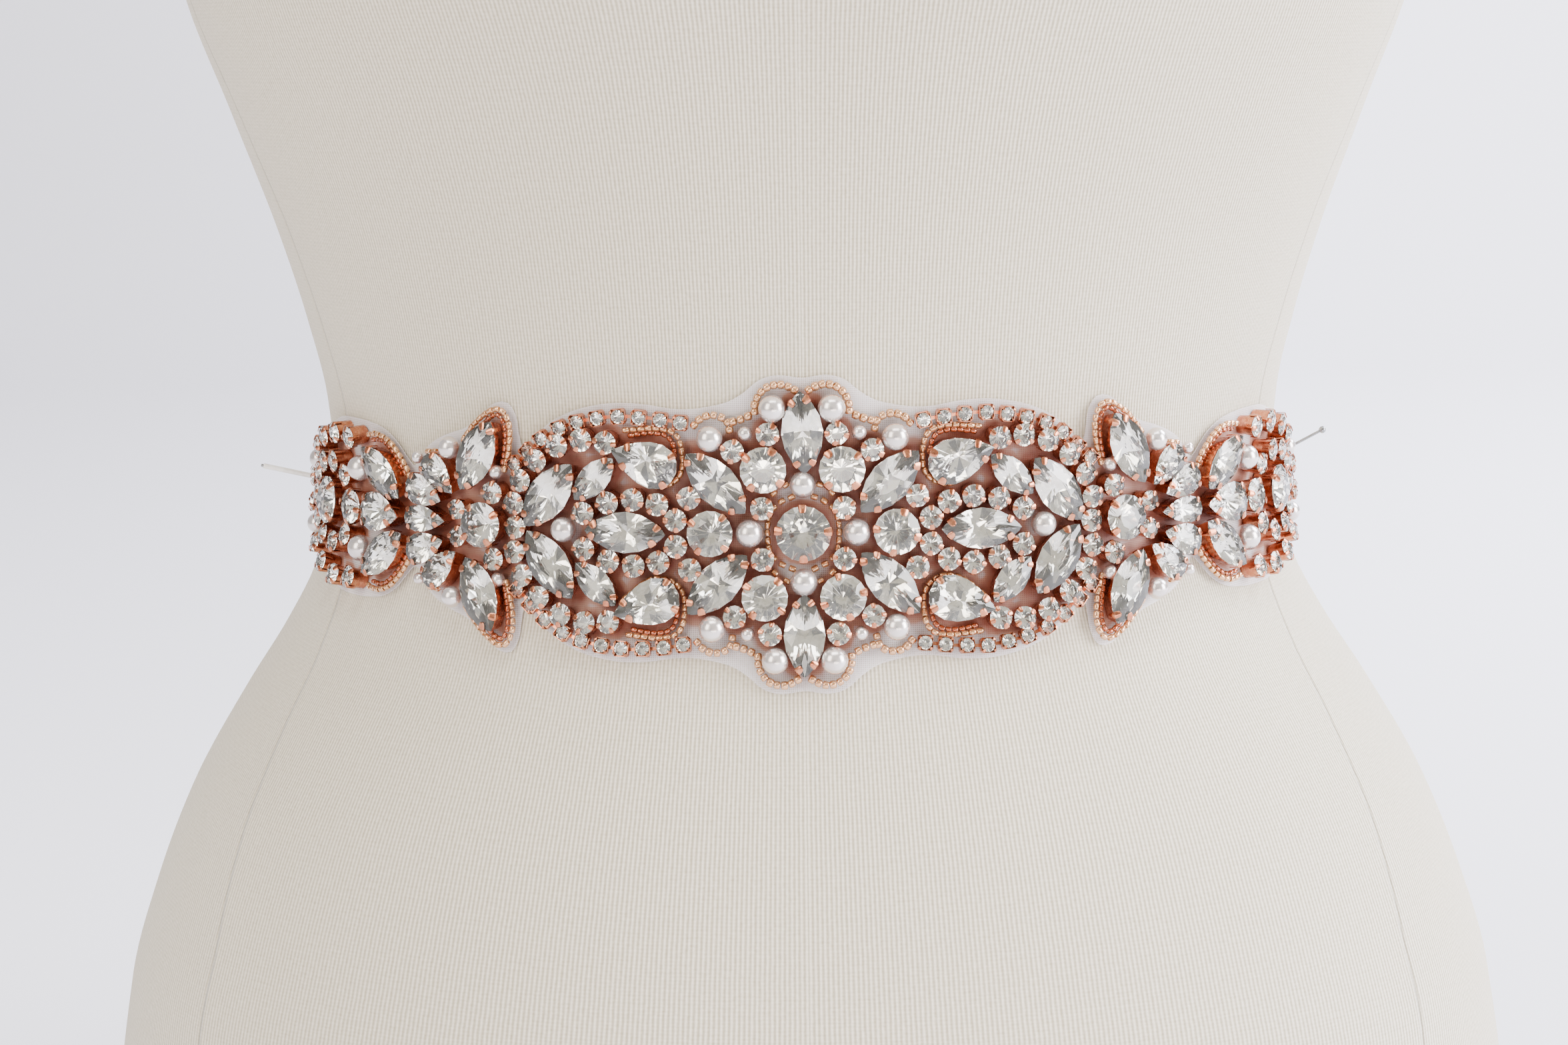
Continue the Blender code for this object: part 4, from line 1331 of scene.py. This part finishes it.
def makeCupChain():
    makeSquareCup()
    makeLinkShape()
    cups = []
    gems = []
    links = []
    tall = cupChain["girdleLayer"] - cupChain["footLayer"]
    for sideU in (1, -1):
        for sideV in (1, -1):
            row = [(u * sideU, v * sideV) for u, v in cupChain["places"]]
            for k, (u, v) in enumerate(row):
                before = row[max(0, k - 1)]
                after = row[min(len(row) - 1, k + 1)]
                turn = math.atan2(after[1] - before[1], after[0] - before[0])
                turn += chance.uniform(-cupChain["turn"], cupChain["turn"])
                place = leaning(bandFrame(u, v, cupChain["footLayer"]), cupChain["lean"])
                place = place @ Matrix.Rotation(turn, 4, "Z")
                cups.append((place, (cupChain["cup"], cupChain["cup"], tall)))
                spin = Matrix.Rotation(chance.uniform(0, 3), 4, "Z")
                gems.append((place @ Matrix.Translation((0, 0, tall)) @ spin, (cupChain["stone"],) * 3))
            for (u0, v0), (u1, v1) in zip(row, row[1:]):
                gap = math.hypot(u1 - u0, v1 - v0)
                place = bandFrame(0.5 * (u0 + u1), 0.5 * (v0 + v1), cupChain["linkLayer"])
                place = place @ Matrix.Rotation(math.atan2(v1 - v0, u1 - u0), 4, "Z")
                links.append((place, (gap - cupChain["linkOverlap"], *cupChain["linkSize"])))
    metal = [
        placedMesh("squareCups", "squareCup", cups, "roseGold"),
        placedMesh("links", "link", links, "roseGold"),
    ]
    made = joinMeshes("cupChain", metal, [finishes["roseGold"]])
    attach(made, "root")
    gemMesh = placedMesh("cupChainStones", "round5", gems, "crystal", "foil")
    made = joinMeshes("cupChainStones", [gemMesh], [finishes["crystal"], finishes["foil"]])
    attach(made, "root")


makeCupChain()
print("cup chain made")

# Pins
pins = {
    # place on the band, tilt above the surface's normal, then (reach from the tip, radius) along the pin
    "pin_left": {
        "u": -146.5, "v": 1.0, "tilt": 9.0, "length": 17.5,
        "shape": (
            (0.5, 0.45), (1.0, 0.62), (16.8, 0.62), (17.0, 0.55), (17.01, 0.36), (17.5, 0.36), (17.6, 0.25),
        ),
    },
    "pin_right": {"u": 145.0, "v": 4.2, "tilt": 26.0, "length": 13.5, "shape": ((0.5, 0.22), (0.9, 0.35))},
    "lacquered": 3,  # sections of the left pin that the white lacquer covers
    "ballRadius": 0.85,
    "sides": 20,
}


def makePin(node, name):
    # drawn shaft, and the head that the wire is upset or soldered into
    facts = pins[node]
    place = bandFrame(facts["u"], facts["v"])
    normal = place.col[2].to_3d()
    lean = Vector((0, 0, 1)) - normal * normal.z
    lean.normalize()
    tilt = math.radians(facts["tilt"])
    axis = normal * math.cos(tilt) + lean * math.sin(tilt)
    across = axis.orthogonal().normalized()
    other = axis.cross(across)
    profile = list(facts["shape"])
    if node == "pin_right":
        ball = pins["ballRadius"]
        start = math.asin(profile[-1][1] / ball) - math.pi / 2
        for k in range(13):
            turn = start + (math.pi / 2 - 0.15 - start) * k / 12
            profile.append((facts["length"] + ball * math.sin(turn), ball * math.cos(turn)))
    turns = [2 * math.pi * i / pins["sides"] for i in range(pins["sides"])]
    rings = []
    for reach, radius in profile:
        centre = place.translation + axis * reach
        rings.append([
            toWorld @ (centre + (across * math.cos(t) + other * math.sin(t)) * radius) for t in turns
        ])
    mesh = meshFrom(name, *closedRings(rings))
    faceOutwards(mesh)
    piece = keepMesh(name, mesh, [finishes["steel"], finishes["lacquer"]], 40)
    if node == "pin_left":
        for face in mesh.polygons[:pins["sides"] * pins["lacquered"]]:
            face.material_index = 1
    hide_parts(node)
    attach(piece, "root")


makePin("pin_left", "pinLeft")
makePin("pin_right", "pinRight")

for node in ("form_neck_cap", "form_base"):
    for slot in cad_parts[node].material_slots:
        slot.material = finishes["beech"]

for shape in shapes.values():
    bpy.data.objects.remove(shape)
print("pins and wood made")

# Camera, light and floor
camera = {
    "distance": 600,  # mm from the band's front
    "elevation": 10.2,
    "roll": 0.7,
    "focalPixels": 4196,
    "framePixels": (2352, 1568),
    "bandPixel": (1205, 802),  # where the band's middle falls
    "bandFront": 88,  # mm from the form's axis
}


def makeCamera():
    elevation = math.radians(camera["elevation"])
    back = Vector((0, -math.cos(elevation), math.sin(elevation)))
    eye = Vector((0, -camera["bandFront"], 0)) + back * camera["distance"]
    right = Vector((1, 0, 0))
    up = back.cross(right)
    roll = math.radians(camera["roll"])
    rolledRight = right * math.cos(roll) - up * math.sin(roll)
    rolledUp = up * math.cos(roll) + right * math.sin(roll)
    wide, tall = camera["framePixels"]
    asideX = (camera["bandPixel"][0] - wide / 2) / camera["focalPixels"]
    asideY = (tall / 2 - camera["bandPixel"][1]) / camera["focalPixels"]
    ahead = (-back - rolledRight * asideX - rolledUp * asideY).normalized()
    side = (rolledRight - ahead * rolledRight.dot(ahead)).normalized()
    place = Matrix((side, side.cross(ahead), -ahead)).transposed().to_4x4()
    place.translation = toWorld @ eye
    data = bpy.data.cameras.new("camera")
    data.sensor_width = 36.0
    data.lens = 36.0 * camera["focalPixels"] / wide
    data.clip_start = 0.01
    made = addObject("camera", data)
    made.matrix_world = place
    bpy.context.scene.camera = made


lights = {
    # place and target in metres from the sash's middle, size, power and colour
    "windowLeft": ((-1.0, -1.15, 0.7), (0, 0, 0), (0.7, 1.1), 21.0, "#FFF8EE"),
    "softboxRight": ((2.4, -0.9, 0.75), (0, 0, 0), (1.2, 1.8), 180.0, "#FAFAFF"),
    "softboxTop": ((0.1, -0.5, 1.5), (0, 0, 0), (1.2, 0.6), 24.0, "#FFFFFF"),
    "lowCard": ((0.3, -1.2, -0.15), (0, 0, 0), (0.8, 0.1), 3.4, "#FFF6EE"),
    "backRight": ((1.5, 0.6, 1.2), (0, 0, 0), (0.9, 0.9), 90.0, "#ECF1FF"),
    "wallRight": ((1.3, 1.3, 1.6), (1.7, 2.6, 0.0), (1.0, 0.8), 135.0, "#EEF2FF"),
}


def makeLights():
    middle = Vector((0, depthShift, sashHeight))
    for name, (spot, target, (wide, tall), power, colour) in lights.items():
        data = bpy.data.lights.new(name, "AREA")
        data.shape = "RECTANGLE"
        data.size = wide
        data.size_y = tall
        data.energy = power
        data.color = hexColour(colour)[:3]
        made = addObject(name, data)
        made.location = middle + Vector(spot)
        made.rotation_euler = (Vector(target) - Vector(spot)).to_track_quat("-Z", "Y").to_euler()
    world = bpy.data.worlds.new("studio")
    bpy.context.scene.world = world
    world.use_nodes = True
    tree = world.node_tree
    tree.nodes.clear()
    # a pale warm room with a dim place in front of the form: the facets need both
    coords = addNode(tree, "ShaderNodeTexCoord")
    parts = addNode(tree, "ShaderNodeSeparateXYZ", links={"Vector": coords.outputs["Generated"]})
    depth = addNode(
        tree, "ShaderNodeMapRange", {"From Min": -1.0, "From Max": 0.3}, {"Value": parts.outputs["Y"]}
    )
    room = addNode(
        tree, "ShaderNodeValToRGB", links={"Fac": depth.outputs[0]},
        stops=(
            (0.02, hexColour("#6C6D71")), (0.05, hexColour("#F0EBDF")), (0.3, hexColour("#ECE8DE")),
            (0.5, hexColour("#B4B1A7")), (0.9, hexColour("#C9C9CE")),
        ),
    )
    glow = addNode(tree, "ShaderNodeBackground", {"Strength": 1.0}, {"Color": room.outputs[0]})
    addNode(tree, "ShaderNodeOutputWorld", links={"Surface": glow.outputs[0]})


# metres; the paper curves up from its back edge
paper = {"front": -3.0, "back": 2.2, "curve": 0.9, "top": 3.6, "halfWidth": 3.6}


def makeFloor():
    # pale paper that runs back along the floor and curves up behind the form
    back = paper["back"]
    curve = paper["curve"]
    turns = np.radians(range(10, 91, 10))
    line = [(paper["front"], 0.0), (back, 0.0)]
    line += [(back + curve * math.sin(t), curve - curve * math.cos(t)) for t in turns]
    line.append((back + curve, paper["top"]))
    points = [(x, y, z) for y, z in line for x in (-paper["halfWidth"], paper["halfWidth"])]
    faces = [(2 * i, 2 * i + 1, 2 * i + 3, 2 * i + 2) for i in range(len(line) - 1)]
    mesh = meshFrom("paperFloor", points, faces)
    made = keepMesh("paperFloor", mesh, [finishes["backdrop"]], 60)


makeCamera()
makeLights()
makeFloor()
print("camera, light and floor made")
